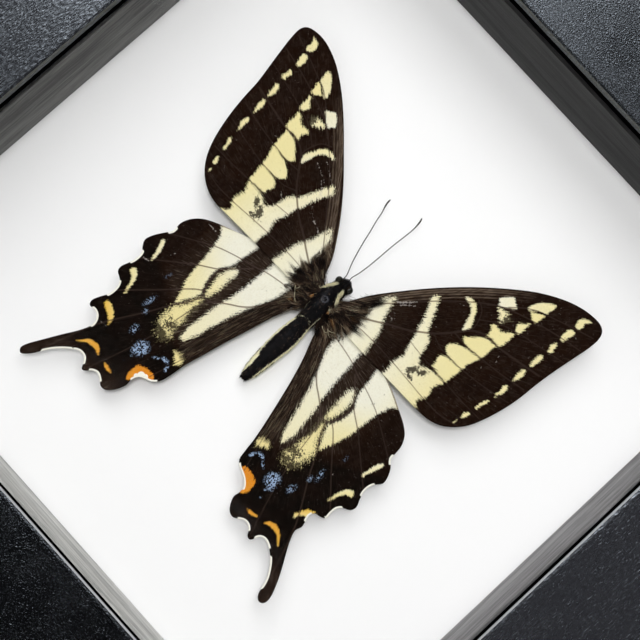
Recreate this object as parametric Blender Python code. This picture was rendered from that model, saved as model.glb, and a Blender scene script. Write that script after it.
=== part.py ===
"""Framed butterfly specimen: a square black box frame, glazed in front and closed by a backboard,
with one pinned swallowtail butterfly on a white board.

Metres. +Z up, the glazed front faces -Y, and the case stands on its bottom rail. The origin is under the
middle of the bottom rail. Outlines on the board are given in millimetres as (across, up) from the middle
of the board, with across measured outwards for the left and right wings.
"""

import math

import bmesh
import bpy
import numpy as np

MM = 0.001
GAP = 0.3 * MM          # clearance between pieces that touch

# Driving sizes of the case
OUTER_SIDE = 200 * MM   # square case, outside
FACE_WIDTH = 30 * MM    # width of the rails' front face
CASE_DEPTH = 40 * MM
LIP_THICKNESS = 4 * MM  # the rails' lip, in front of the glass
LIP_OVERLAP = 4 * MM    # how far the lip covers the glass
EDGE_ROUND = 0.8 * MM
GLASS_THICKNESS = 2 * MM
BOARD_FROM_FRONT = 28 * MM  # the mount board's face, behind the case's front
BOARD_THICKNESS = 5 * MM
BACKBOARD_THICKNESS = 3 * MM

# Places worked out from them
MIDDLE = OUTER_SIDE / 2
OPENING_HALF = MIDDLE - FACE_WIDTH
REBATE_HALF = OPENING_HALF + LIP_OVERLAP
FRONT_Y = -CASE_DEPTH / 2
BACK_Y = CASE_DEPTH / 2
LIP_BACK_Y = FRONT_Y + LIP_THICKNESS
GLASS_Y = LIP_BACK_Y + GAP
SPACER_Y = GLASS_Y + GLASS_THICKNESS + GAP
BOARD_Y = FRONT_Y + BOARD_FROM_FRONT
BACKBOARD_Y = BOARD_Y + BOARD_THICKNESS + GAP
REAR_OF_BACKBOARD_Y = BACKBOARD_Y + BACKBOARD_THICKNESS
SHEET_HALF = REBATE_HALF - GAP
MITRE_CUT = GAP / math.sqrt(2)  # half the gap at a mitre, measured along the rail

# Heights above the mount board's face, towards the glass
HINDWING_HEIGHT = 4.0 * MM
FOREWING_HEIGHT = 4.8 * MM
WING_THICKNESS = 0.5 * MM

# Hardware
TAB_SIZE = (8 * MM, 15 * MM, 0.5 * MM)  # width, length, thickness
TAB_IN_RAIL = 7 * MM
TAB_OFFSET = 38 * MM    # of each tab from the middle of its side
TAB_Y = REAR_OF_BACKBOARD_Y + GAP
PIN_PLACE = (0.6, 2.6)
PIN_RADIUS = 0.25 * MM
PIN_HEAD_RADIUS = 0.5 * MM
PIN_TOP = 8.4 * MM      # above the board
PIN_DEPTH = 3 * MM      # into the board
HANGER_SIZE = (44 * MM, 9 * MM, 0.8 * MM)  # length, height, thickness
HANGER_HEIGHT = 162 * MM
HANGER_RISE = 1.3 * MM  # of the toothed middle off the backboard
SCREW_SPREAD = 18 * MM
SCREW_SHANK_RADIUS = 1.2 * MM
SCREW_HEAD_RADIUS = 2.4 * MM
SCREW_HEAD_HEIGHT = 1.2 * MM

# Wing outlines: along the front edge to the tip, down the outer margin, and back along the hind margin
FOREWING_RIGHT = [
    (4.2, 5.8), (6.2, 10.2), (9.8, 15.6), (14.6, 22.0), (19.8, 28.0), (25, 33.2), (30, 37.5), (35, 40.6),
    (38.5, 42.0), (41.5, 42.6), (43.8, 42.6), (45.2, 41.9), (45.9, 40.4), (45.9, 37.6), (45.3, 33.6),
    (44.5, 28.4), (44.0, 24.0), (43.7, 19.4), (43.0, 14.8), (41.9, 10.6), (40.6, 7.2), (38.9, 4.8),
    (36.6, 2.8), (34.0, 1.75), (31.0, 1.4), (25, 1.25), (18, 1.1), (11, 1.0), (5.8, 1.3), (4.1, 2.8),
]
FOREWING_LEFT = [
    (3.0, 5.2), (4.9, 9.9), (7.6, 13.8), (10.8, 17.8), (15, 22.3), (20, 27.0), (25, 31.5), (30, 35.5),
    (35, 38.6), (38.5, 40.0), (41.5, 40.6), (44.2, 40.4), (45.8, 39.7), (46.5, 38.4), (46.4, 36.0),
    (45.7, 32.2), (44.8, 28), (43.9, 23.6), (43.4, 19.2), (42.6, 14.6), (41.6, 10.6), (40.3, 7.0),
    (38.6, 4.0), (36.4, 1.7), (33.6, 0.1), (30.6, -0.6), (27.6, -0.5), (23, -0.3), (17, -0.1), (11, 0.1),
    (5.6, 0.4), (3.0, 2.0),
]
HINDWING_RIGHT = [
    (4.2, -0.6), (5.6, 2.0), (9, 3.4), (14, 3.2), (18, 2.4), (21.5, 1.3), (25.2, 0.0), (28.6, -1.5),
    (31.4, -2.8), (33.2, -4.2), (34.3, -6.2), (34.6, -8.2), (34.8, -9.6), (36.2, -11.0), (37.2, -12.9),
    (37.4, -14.4), (36.5, -15.7), (36.0, -17.0), (36.0, -18.5), (36.6, -20.2), (37.3, -21.8),
    (36.9, -23.1), (35.5, -24.0), (34.7, -25.1), (34.6, -26.7), (34.7, -28.0), (33.6, -28.7),
    (32.3, -29.1), (31.9, -30.3), (32.3, -31.7), (32.6, -33.0), (32.2, -34.4), (33.0, -36.6),
    (34.6, -39.3), (36.4, -42.2), (38.0, -45.2), (39.0, -47.9), (38.8, -49.3), (37.9, -49.8),
    (36.9, -49.2), (36.2, -47.6), (35.6, -45.7), (34.5, -43.9), (32.9, -42.1), (31.0, -40.8),
    (29.3, -40.3), (28.2, -40.8), (27.7, -41.9), (27.2, -42.7), (26.4, -42.6), (25.6, -41.6),
    (24.6, -40.9), (23.5, -40.9), (22.4, -41.6), (21.3, -42.2), (20.1, -41.9), (19.0, -40.7),
    (18.3, -39.1), (18.5, -37.8), (18.3, -36.5), (17.3, -35.4), (16.0, -34.7), (14.6, -34.2),
    (13.4, -33.2), (12.9, -31.2), (12.4, -28.2), (11.3, -23.8), (9.9, -18.8), (8.2, -13.2), (6.6, -8.8),
    (5.2, -5.6), (4.4, -3.4),
]
HINDWING_LEFT = [
    (3.0, -0.8), (4.4, 1.4), (8, 2.8), (13, 2.4), (17, 1.1), (20.5, -0.4), (24.3, -2.0), (27.6, -3.5),
    (29.9, -5.0), (31.4, -6.8), (32.2, -9.0), (32.0, -11.2), (32.9, -12.8), (34.1, -15.0), (34.6, -16.9),
    (33.9, -18.2), (33.0, -19.2), (32.8, -20.9), (33.2, -22.8), (33.7, -24.6), (33.3, -25.7),
    (31.9, -26.4), (31.0, -27.8), (31.0, -30.2), (31.8, -32.0), (32.4, -33.8), (31.9, -34.8),
    (30.3, -34.7), (29.1, -35.3), (28.4, -36.9), (29.0, -39.2), (31.0, -43.0), (33.0, -46.9),
    (34.6, -50.2), (34.8, -51.5), (34.0, -52.2), (32.6, -50.9), (31.2, -48.5), (29.9, -46.4),
    (27.8, -44.1), (26.0, -42.8), (24.5, -42.9), (23.6, -43.9), (22.8, -45.0), (22.0, -44.6),
    (21.2, -43.6), (20.0, -43.1), (18.8, -43.6), (17.6, -44.4), (16.4, -44.3), (15.1, -42.9),
    (14.1, -40.3), (14.2, -38.9), (13.7, -37.4), (12.6, -36.6), (11.2, -36.0), (10.0, -34.6),
    (9.4, -32.0), (9.0, -28.6), (8.0, -24.2), (6.8, -18.8), (5.3, -12.8), (4.2, -8.2), (3.2, -4.4),
]
OUTLINE_STEPS = 3       # points drawn for each one listed

# The butterfly's body from above: place up the board, centre across, half width, half thickness, height
BODY_SECTIONS = [
    (9.6, 1.2, 0.5, 0.5, 4.6), (8.9, 1.15, 1.3, 1.0, 4.6), (7.8, 1.0, 2.1, 1.5, 4.5),
    (6.8, 0.9, 1.8, 1.5, 4.4), (6.0, 0.7, 2.1, 2.0, 4.3), (4.4, 0.55, 2.6, 2.7, 4.2),
    (2.6, 0.5, 2.7, 3.0, 4.1), (0.4, 0.7, 2.55, 2.9, 4.0), (-2.0, 0.9, 2.15, 2.4, 3.9),
    (-3.6, 0.95, 1.9, 2.1, 3.7), (-6.0, 1.0, 2.3, 2.2, 3.5), (-8.4, 1.05, 2.5, 2.3, 3.3),
    (-12.0, 1.0, 2.3, 2.1, 3.0), (-16.0, 1.05, 2.05, 1.9, 2.7), (-18.6, 1.1, 1.85, 1.7, 2.5),
    (-20.3, 1.15, 1.1, 1.1, 2.4), (-21.5, 1.2, 0.35, 0.4, 2.4),
]
BODY_SIDES = 24

# Antennae: (across, up, height above the board), from the head to the club at the tip
ANTENNA_LEFT = [
    (-0.1, 9.5, 6.0), (-1.2, 12.0, 7.0), (-2.0, 14.2, 7.4), (-2.9, 17.0, 7.6), (-3.6, 19.5, 7.6),
    (-4.4, 22.0, 7.4), (-4.9, 24.0, 7.2), (-5.4, 25.3, 7.0), (-5.7, 26.3, 6.9), (-5.8, 27.4, 6.8),
]
ANTENNA_RIGHT = [
    (1.0, 10.2, 6.0), (1.35, 11.6, 6.8), (1.65, 14.2, 7.3), (1.8, 17.5, 7.6), (1.9, 21.0, 7.6),
    (2.1, 24.0, 7.4), (2.2, 26.2, 7.2), (2.1, 27.8, 7.0), (1.9, 28.9, 6.9), (1.6, 29.7, 6.8),
]
ANTENNA_RADIUS = 0.16 * MM


def clear_scene():
    for thing in list(bpy.data.objects):
        bpy.data.objects.remove(thing, do_unlink=True)


def finish_material(name, colour, roughness, metallic=0.0, transmission=0.0):
    material = bpy.data.materials.new(name)
    material.use_nodes = True
    shader = material.node_tree.nodes["Principled BSDF"]
    shader.inputs["Base Color"].default_value = (*colour, 1.0)
    shader.inputs["Roughness"].default_value = roughness
    shader.inputs["Metallic"].default_value = metallic
    shader.inputs["Transmission Weight"].default_value = transmission
    return material


def add_object(name, mesh, material):
    mesh.materials.append(material)
    piece = bpy.data.objects.new(name, mesh)
    bpy.context.scene.collection.objects.link(piece)
    return piece


def object_from_bmesh(name, bm, material, smooth_angle=None):
    bmesh.ops.remove_doubles(bm, verts=bm.verts, dist=1e-8)
    bmesh.ops.recalc_face_normals(bm, faces=bm.faces)
    mesh = bpy.data.meshes.new(name)
    bm.to_mesh(mesh)
    bm.free()
    if smooth_angle is not None:
        mesh.shade_smooth()
        mesh.set_sharp_from_angle(angle=math.radians(smooth_angle))
    return add_object(name, mesh, material)


def loft(rings, closed_ends=True):
    """A bmesh through equal rings of points, each ring an N x 3 array, with flat ends."""
    bm = bmesh.new()
    rows = [[bm.verts.new(point) for point in ring] for ring in rings]
    for one, two in zip(rows, rows[1:]):
        for i in range(len(one)):
            j = (i + 1) % len(one)
            bm.faces.new((one[i], one[j], two[j], two[i]))
    if closed_ends:
        bm.faces.new(rows[0][::-1])
        bm.faces.new(rows[-1])
    return bm


def box(name, low, high, material):
    corners = [(low[0], low[2]), (high[0], low[2]), (high[0], high[2]), (low[0], high[2])]
    rings = [[(x, y, z) for x, z in corners] for y in (low[1], high[1])]
    return object_from_bmesh(name, loft(rings), material)


def make_cutter(piece):
    piece.hide_render = True
    piece.display_type = "WIRE"
    return piece


def cut(piece, cutter):
    make_cutter(cutter)
    boolean = piece.modifiers.new("cut_" + cutter.name, "BOOLEAN")
    boolean.operation = "DIFFERENCE"
    boolean.solver = "EXACT"
    boolean.object = cutter


def rod(name, start, end, radius, material, sides=16):
    """A round bar between two points that lie one behind the other along Y."""
    angles = np.linspace(0, 2 * math.pi, sides, endpoint=False)
    rings = []
    for y in (start[1], end[1]):
        rings.append([(start[0] + radius * math.cos(a), y, start[2] + radius * math.sin(a)) for a in angles])
    return object_from_bmesh(name, loft(rings), material, 40)


def turned(name, place, profile, material, sides=20):
    """A solid turned about an axis along Y through place; profile is (y, radius) from front to back."""
    angles = np.linspace(0, 2 * math.pi, sides, endpoint=False)
    rings = []
    for y, radius in profile:
        rings.append([(place[0] + radius * math.cos(a), y, place[1] + radius * math.sin(a)) for a in angles])
    return object_from_bmesh(name, loft(rings), material, 40)


def rounded(corners, radii, steps=4):
    """The corners of a polygon replaced by arcs: a quadratic curve that leaves each side at its radius."""
    points = []
    corners = np.array(corners, float)
    for i, corner in enumerate(corners):
        if radii[i] == 0:
            points.append(corner)
            continue
        before = corners[i - 1] - corner
        after = corners[(i + 1) % len(corners)] - corner
        start = corner + before / np.linalg.norm(before) * radii[i]
        end = corner + after / np.linalg.norm(after) * radii[i]
        for t in np.linspace(0, 1, steps):
            points.append((1 - t) ** 2 * start + 2 * t * (1 - t) * corner + t * t * end)
    return points


SIDE_TURNS = {"bottom": 0, "right": 1, "top": 2, "left": 3}  # quarter turns from the bottom side


def around_case(points, side):
    """Turns points made for the bottom side, in X and Z about the case's middle, to another side."""
    angle = SIDE_TURNS[side] * math.pi / 2
    points = np.array(points, float)
    x, z = points[:, 0].copy(), points[:, 2] - MIDDLE
    points[:, 0] = x * math.cos(angle) - z * math.sin(angle)
    points[:, 2] = x * math.sin(angle) + z * math.cos(angle) + MIDDLE
    return points


def mitred_bar(name, side, profile, material):
    """A bar along one side of the case: the profile is (distance from the middle, y), its ends mitred."""
    rings = []
    for end in (-1, 1):
        ring = [(end * (out - MITRE_CUT), y, MIDDLE - out) for out, y in profile]
        rings.append(around_case(ring, side))
    return object_from_bmesh(name, loft(rings), material, 35)


def frame_rail(side, material):
    profile = rounded(
        [
            (OPENING_HALF, FRONT_Y), (MIDDLE, FRONT_Y), (MIDDLE, BACK_Y),
            (REBATE_HALF, BACK_Y), (REBATE_HALF, LIP_BACK_Y), (OPENING_HALF, LIP_BACK_Y),
        ],
        [EDGE_ROUND, EDGE_ROUND, EDGE_ROUND, 0, 0, 0],
    )
    rail = mitred_bar("frame_rail_" + side, side, profile, material)
    for sign in (-1, 1):
        width = TAB_SIZE[0] / 2 + GAP
        low = (sign * TAB_OFFSET - width, TAB_Y - GAP, MIDDLE - REBATE_HALF - TAB_IN_RAIL - GAP)
        high = (sign * TAB_OFFSET + width, TAB_Y + TAB_SIZE[2] + GAP, MIDDLE - REBATE_HALF + GAP)
        slot = box("slot", low, high, material)
        turn_mesh(slot, side)
        cut(rail, slot)
    return rail


def turn_mesh(piece, side):
    points = around_case([vertex.co for vertex in piece.data.vertices], side)
    for vertex, point in zip(piece.data.vertices, points):
        vertex.co = point


def spacer(side, material):
    profile = [
        (OPENING_HALF, SPACER_Y), (SHEET_HALF, SPACER_Y),
        (SHEET_HALF, BOARD_Y - GAP), (OPENING_HALF, BOARD_Y - GAP),
    ]
    return mitred_bar("spacer_" + side, side, profile, material)


def retaining_tab(side, sign, material):
    """A flat point pushed into the rail's rebate, its free end round, over the backboard."""
    width, length, thickness = TAB_SIZE
    root = MIDDLE - REBATE_HALF - TAB_IN_RAIL
    tip = root + length - width / 2
    outline = [(-width / 2, root), (-width / 2, tip)]
    for angle in np.linspace(math.pi, 0, 9)[1:-1]:
        outline.append((width / 2 * math.cos(angle), tip + width / 2 * math.sin(angle)))
    outline += [(width / 2, tip), (width / 2, root)]
    rings = []
    for y in (TAB_Y, TAB_Y + thickness):
        ring = [(sign * TAB_OFFSET + x, y, z) for x, z in outline]
        rings.append(around_case(ring, side))
    which = "a" if sign < 0 else "b"
    return object_from_bmesh(f"retaining_tab_{side}_{which}", loft(rings), material)


def sheet(name, front_y, thickness, material):
    low = (-SHEET_HALF, front_y, MIDDLE - SHEET_HALF)
    high = (SHEET_HALF, front_y + thickness, MIDDLE + SHEET_HALF)
    return box(name, low, high, material)


def hanger(material):
    """A strip whose middle stands off the backboard, its lower edge cut into teeth."""
    length, height, thickness = HANGER_SIZE
    flat, ramp = 8 * MM, 2 * MM
    base_y = REAR_OF_BACKBOARD_Y + GAP
    half = length / 2
    line = [(-half, 0), (-half + flat, 0), (-half + flat + ramp, HANGER_RISE)]
    line += [(-x, rise) for x, rise in reversed(line)]
    outline = [(x, base_y + rise) for x, rise in line]
    outline += [(x, base_y + rise + thickness) for x, rise in reversed(line)]
    low_z = HANGER_HEIGHT - height / 2
    rings = [[(x, y, z) for x, y in outline] for z in (low_z, low_z + height)]
    plate = object_from_bmesh("hanger_plate", loft(rings), material)
    tooth, count = 2.4 * MM, 9
    saw = [(-tooth * count / 2, low_z - 2 * MM)]
    for i in range(count):
        left = (i - count / 2) * tooth
        saw += [(left, low_z - 0.1 * MM), (left + tooth / 2, low_z + 1.6 * MM)]
    saw += [(tooth * count / 2, low_z - 0.1 * MM), (tooth * count / 2, low_z - 2 * MM)]
    rings = [[(x, y, z) for x, z in saw] for y in (base_y - 1 * MM, base_y + 4 * MM)]
    cut(plate, object_from_bmesh("teeth", loft(rings), material))
    for sign in (-1, 1):
        start = (sign * SCREW_SPREAD, base_y - 1 * MM, HANGER_HEIGHT)
        end = (sign * SCREW_SPREAD, base_y + 2 * MM, HANGER_HEIGHT)
        cut(plate, rod("plate_hole", start, end, SCREW_SHANK_RADIUS + GAP, material))
    return plate


def hanger_screw(sign, material):
    """A short screw with a domed, slotted head, through the plate into the backboard."""
    tip_y = BACKBOARD_Y + 0.8 * MM
    head_y = REAR_OF_BACKBOARD_Y + GAP + HANGER_SIZE[2] + GAP
    profile = [
        (tip_y, 0.3 * MM), (tip_y + 0.8 * MM, SCREW_SHANK_RADIUS), (head_y, SCREW_SHANK_RADIUS),
        (head_y, SCREW_HEAD_RADIUS), (head_y + 0.4 * MM, SCREW_HEAD_RADIUS),
        (head_y + 0.9 * MM, SCREW_HEAD_RADIUS * 0.75), (head_y + SCREW_HEAD_HEIGHT, SCREW_HEAD_RADIUS * 0.35),
    ]
    side = "left" if sign < 0 else "right"
    place = (sign * SCREW_SPREAD, HANGER_HEIGHT)
    screw = turned(f"hanger_screw_{side}", place, profile, material)
    low = (place[0] - 3 * MM, head_y + 0.6 * MM, place[1] - 0.3 * MM)
    high = (place[0] + 3 * MM, head_y + 2 * MM, place[1] + 0.3 * MM)
    cut(screw, box("driver_slot", low, high, material))
    return screw


def on_board(across, up, height=0.0):
    """A point of the case from millimetres across and up the board and its height off the board."""
    return (across * MM, BOARD_Y - height, MIDDLE + up * MM)


def smooth_outline(points):
    """A closed centripetal Catmull-Rom curve through the points, OUTLINE_STEPS points to each."""
    points = np.array(points, float)
    count = len(points)
    curve = []
    for i in range(count):
        p = points[[i - 1, i, (i + 1) % count, (i + 2) % count]]
        t = np.concatenate([[0], np.cumsum(np.sqrt(np.linalg.norm(np.diff(p, axis=0), axis=1)))])
        for u in np.linspace(t[1], t[2], OUTLINE_STEPS, endpoint=False):
            a = [(t[k + 1] - u) / (t[k + 1] - t[k]) * p[k] + (u - t[k]) / (t[k + 1] - t[k]) * p[k + 1]
                 for k in range(3)]
            b = [(t[k + 2] - u) / (t[k + 2] - t[k]) * a[k] + (u - t[k]) / (t[k + 2] - t[k]) * a[k + 1]
                 for k in range(2)]
            curve.append((t[2] - u) / (t[2] - t[1]) * b[0] + (u - t[1]) / (t[2] - t[1]) * b[1])
    return np.array(curve)


def wing(name, outline, side, height, material):
    """A thin flat plate with the wing's outline; side is -1 for the left and 1 for the right."""
    curve = smooth_outline(outline)
    rings = []
    for level in (height, height + WING_THICKNESS):
        rings.append([on_board(side * x, z, level) for x, z in curve])
    return object_from_bmesh(name, loft(rings), material)


def butterfly_body(material):
    """Head, chest and abdomen as one solid: ellipses carried along the body, waisted behind the chest."""
    angles = np.linspace(0, 2 * math.pi, BODY_SIDES, endpoint=False)
    rings = []
    for up, across, half_width, half_thickness, height in BODY_SECTIONS:
        ring = []
        for a in angles:
            x = across + half_width * math.cos(a)
            ring.append(on_board(x, up, (height + half_thickness * math.sin(a)) * MM))
        rings.append(ring)
    body = object_from_bmesh("butterfly_body", loft(rings), material, 50)
    start, end = on_board(*PIN_PLACE, -1 * MM), on_board(*PIN_PLACE, 10 * MM)
    cut(body, rod("pin_bore", start, end, PIN_RADIUS + GAP, material, 12))
    return body


def antenna(name, points, material):
    spline_data = bpy.data.curves.new(name + "_line", "CURVE")
    spline_data.dimensions = "3D"
    spline_data.bevel_depth = ANTENNA_RADIUS
    spline_data.bevel_resolution = 1
    spline_data.use_fill_caps = True
    line = spline_data.splines.new("POLY")
    line.points.add(len(points) - 1)
    for target, (x, z, height) in zip(line.points, points):
        target.co = (*on_board(x, z, height * MM), 1.0)
    spline_data.materials.append(material)
    piece = bpy.data.objects.new(name, spline_data)
    bpy.context.scene.collection.objects.link(piece)
    return piece


def insect_pin(material):
    """A straight pin with a small round head, through the chest and into the board."""
    top, head = PIN_TOP, PIN_HEAD_RADIUS
    profile = [(top, head * 0.3)]
    for angle in (0.5, 1.0, 1.57, 2.1):
        profile.append((top - head * (1 - math.cos(angle)), head * math.sin(angle)))
    profile += [(top - 1.8 * head, PIN_RADIUS), (-PIN_DEPTH + 0.6 * MM, PIN_RADIUS), (-PIN_DEPTH, 0.05 * MM)]
    place = on_board(*PIN_PLACE)
    profile = [(place[1] - height, radius) for height, radius in profile]
    return turned("insect_pin", (place[0], place[2]), profile, material, 12)


def build_case():
    black_wood = finish_material("black_stained_rail", (0.012, 0.012, 0.013), 0.45)
    dark_wood = finish_material("dark_stained_spacer", (0.035, 0.032, 0.030), 0.5)
    clear = finish_material("clear_glass", (1.0, 1.0, 1.0), 0.02, transmission=1.0)
    white = finish_material("white_board", (0.85, 0.85, 0.84), 0.7)
    hardboard = finish_material("brown_hardboard", (0.22, 0.13, 0.07), 0.75)
    zinc = finish_material("zinc_plated_steel", (0.62, 0.62, 0.60), 0.35, 1.0)
    for side in SIDE_TURNS:
        frame_rail(side, black_wood)
        spacer(side, dark_wood)
        for sign in (-1, 1):
            retaining_tab(side, sign, zinc)
    sheet("glass_pane", GLASS_Y, GLASS_THICKNESS, clear)
    board = sheet("mount_board", BOARD_Y, BOARD_THICKNESS, white)
    start, end = on_board(*PIN_PLACE, 1 * MM), on_board(*PIN_PLACE, -PIN_DEPTH - GAP)
    cut(board, rod("pin_hole", start, end, PIN_RADIUS + GAP, white, 12))
    back = sheet("backboard", BACKBOARD_Y, BACKBOARD_THICKNESS, hardboard)
    for sign in (-1, 1):
        start = (sign * SCREW_SPREAD, BACKBOARD_Y + 0.5 * MM, HANGER_HEIGHT)
        end = (sign * SCREW_SPREAD, REAR_OF_BACKBOARD_Y + 1 * MM, HANGER_HEIGHT)
        cut(back, rod("screw_hole", start, end, SCREW_SHANK_RADIUS + GAP, hardboard))
        hanger_screw(sign, zinc)
    hanger(zinc)


def build_butterfly():
    scales = finish_material("dark_wing_scales", (0.03, 0.02, 0.015), 0.7)
    black_hair = finish_material("black_body_hair", (0.012, 0.011, 0.010), 0.8)
    horn = finish_material("dark_antenna", (0.05, 0.045, 0.04), 0.5)
    black_steel = finish_material("black_pin_enamel", (0.02, 0.02, 0.02), 0.3)
    wing("forewing_right", FOREWING_RIGHT, 1, FOREWING_HEIGHT, scales)
    wing("forewing_left", FOREWING_LEFT, -1, FOREWING_HEIGHT, scales)
    wing("hindwing_right", HINDWING_RIGHT, 1, HINDWING_HEIGHT, scales)
    wing("hindwing_left", HINDWING_LEFT, -1, HINDWING_HEIGHT, scales)
    butterfly_body(black_hair)
    antenna("antenna_left", ANTENNA_LEFT, horn)
    antenna("antenna_right", ANTENNA_RIGHT, horn)
    insect_pin(black_steel)


clear_scene()
build_case()
build_butterfly()
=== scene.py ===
"""The finish of a framed butterfly: a swallowtail pinned on white board in a square black box frame."""
import math

import bpy
import numpy as np
from mathutils import Matrix, Vector


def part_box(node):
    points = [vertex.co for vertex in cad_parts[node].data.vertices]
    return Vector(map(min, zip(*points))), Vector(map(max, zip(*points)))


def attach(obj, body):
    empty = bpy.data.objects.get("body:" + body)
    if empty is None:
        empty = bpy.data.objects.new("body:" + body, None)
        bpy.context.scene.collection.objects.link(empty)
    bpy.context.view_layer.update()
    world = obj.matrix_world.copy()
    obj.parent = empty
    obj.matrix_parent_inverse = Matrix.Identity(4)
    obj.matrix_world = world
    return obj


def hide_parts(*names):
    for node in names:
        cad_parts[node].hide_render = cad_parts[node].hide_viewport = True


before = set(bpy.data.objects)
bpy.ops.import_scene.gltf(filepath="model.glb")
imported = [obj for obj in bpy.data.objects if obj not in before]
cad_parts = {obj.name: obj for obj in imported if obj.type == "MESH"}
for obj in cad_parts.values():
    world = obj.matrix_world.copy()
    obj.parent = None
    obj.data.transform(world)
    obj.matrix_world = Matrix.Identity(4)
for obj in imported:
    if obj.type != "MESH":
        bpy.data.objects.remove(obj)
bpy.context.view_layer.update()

MM = 0.001

# ---------------------------------------------------------------- viewpoint
# The case stands upright on its bottom rail. It is seen from close in front of its lower middle, with
# the viewer's head tipped almost halfway over, so that the case's top points to the upper right.
LENS, SENSOR = 76.41, 36.0
VIEW_AZIMUTH, VIEW_RISE, VIEW_ROLL = math.radians(-2.94), math.radians(5.44), math.radians(47.92)
VIEW_DISTANCE = 0.29295  # from the aimed point on the board
AIM_FROM_MIDDLE = (2.8 * MM, -0.43 * MM)  # across and up the board
NEAREST_SEEN = 0.01

board_low, board_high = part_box("mount_board")
BOARD_MIDDLE = np.array([(board_low.x + board_high.x) / 2, board_low.y, (board_low.z + board_high.z) / 2])

look = np.array([math.sin(VIEW_AZIMUTH) * math.cos(VIEW_RISE), math.cos(VIEW_AZIMUTH) * math.cos(VIEW_RISE),
                 math.sin(VIEW_RISE)])
level = np.cross(look, (0, 0, 1))
level /= np.linalg.norm(level)
upright = np.cross(level, look)
to_the_right = math.cos(VIEW_ROLL) * level + math.sin(VIEW_ROLL) * upright
to_the_top = math.cos(VIEW_ROLL) * upright - math.sin(VIEW_ROLL) * level
pose = np.eye(4)
pose[:3, :3] = np.stack([to_the_right, to_the_top, -look], 1)
pose[:3, 3] = BOARD_MIDDLE + (AIM_FROM_MIDDLE[0], 0, AIM_FROM_MIDDLE[1]) - look * VIEW_DISTANCE
camera = bpy.data.objects.new("viewpoint", bpy.data.cameras.new("viewpoint"))
camera.data.lens, camera.data.sensor_width = LENS, SENSOR
camera.data.clip_start = NEAREST_SEEN
camera.matrix_world = Matrix(pose)
bpy.context.scene.collection.objects.link(camera)
bpy.context.scene.camera = camera
bpy.context.scene.view_settings.view_transform = "Standard"

# ---------------------------------------------------------------- studio
# A large soft lamp stands above the case and to its left, and a narrower one straight above it. A third is
# behind the viewer, a fourth lights the back and a fifth the right side. The pale walls add an even fill.
LAMPS = [  # name, degrees from the glass's normal and round it, metres off and wide, watts, mirrored
    ("key_lamp", 44, -47.5, 1.8, 1.2, 12.2, True),
    ("top_lamp", 27, -4, 1.6, 0.75, 6.0, False),
    ("front_lamp", 1.5, -45, 1.6, 0.3, 12.7, False),
    ("rear_lamp", 140, 25, 1.4, 1.2, 10.0, True),
    ("side_lamp", 98, 38, 1.3, 0.8, 3.5, True),
]
WALL_FILL, WALL_SEEN = (0.06, 0.06, 0.0612, 1), (0.86, 0.86, 0.87, 1)
TABLE_HALF = 2.5


def make_node(tree, kind, values=None, **settings):
    """Adds a shader node. Settings are its own properties; values are its inputs, plain or linked."""
    node = tree.nodes.new("ShaderNode" + kind)
    for name, value in settings.items():
        setattr(node, name, value)
    for name, value in (values or {}).items():
        if isinstance(value, bpy.types.NodeSocket):
            tree.links.new(value, node.inputs[name])
        else:
            node.inputs[name].default_value = value
    return node


class Finish:
    """A material with one Principled shader, and short ways to add the nodes that vary it over the piece.
    Each way gives back the new node's output. A colour has three numbers, or is another node's output."""

    def __init__(self, name, colour, roughness, **values):
        self.material = bpy.data.materials.new(name)
        self.material.use_nodes = True
        self.tree = self.material.node_tree
        self.shader = self.tree.nodes["Principled BSDF"]
        self.feed(Base_Color=(*colour, 1.0), Roughness=roughness, **values)

    def feed(self, **values):
        """Gives inputs of the shader a value or another node's output; _ stands for a space."""
        for name, value in values.items():
            socket = self.shader.inputs[name.replace("_", " ")]
            if isinstance(value, bpy.types.NodeSocket):
                self.tree.links.new(value, socket)
            else:
                socket.default_value = value

    def node(self, kind, values=None, **settings):
        return make_node(self.tree, kind, values, **settings)

    def place(self):
        return self.node("TexCoord").outputs["Object"]

    def number(self, name):
        """A number that is stored at the mesh's points."""
        return self.node("Attribute", attribute_name=name).outputs["Fac"]

    def noise(self, vector, scale, detail=2.0, roughness=0.5, distortion=0.0):
        return self.node("TexNoise", {"Vector": vector, "Scale": scale, "Detail": detail,
                                      "Roughness": roughness, "Distortion": distortion}).outputs[0]

    def calc(self, operation, *parts):
        return self.node("Math", dict(enumerate(parts)), operation=operation).outputs[0]

    def product(self, one, two):
        return self.calc("MULTIPLY", one, two)

    def add(self, one, factor, two):
        """one * factor + two"""
        return self.calc("MULTIPLY_ADD", one, factor, two)

    def middling(self, noise):
        """A noise moved to run evenly below and above zero."""
        return self.calc("SUBTRACT", noise, 0.5)

    def mix(self, share, one, two):
        """From colour one, where share is 0, to colour two, where it is 1."""
        one, two = (part if isinstance(part, bpy.types.NodeSocket) else (*part, 1.0) for part in (one, two))
        return self.node("Mix", {0: share, 6: one, 7: two}, data_type="RGBA").outputs[2]

    def ramp(self, value, low, high, to_low=0.0, to_high=1.0, way="LINEAR"):
        """Carries low to high over to to_low to to_high, and stays there beyond them."""
        return self.node("MapRange", {0: value, 1: low, 2: high, 3: to_low, 4: to_high},
                         interpolation_type=way).outputs[0]

    def ease(self, value, low, high, to_low=0.0, to_high=1.0):
        """As ramp, but slow at both ends."""
        return self.ramp(value, low, high, to_low, to_high, "SMOOTHSTEP")

    def dent(self, height, depth, strength):
        """Presses a height into the surface as light sees it, depth metres deep."""
        bump = self.node("Bump", {"Height": height, "Distance": depth, "Strength": strength})
        self.feed(Normal=bump.outputs[0])


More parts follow.
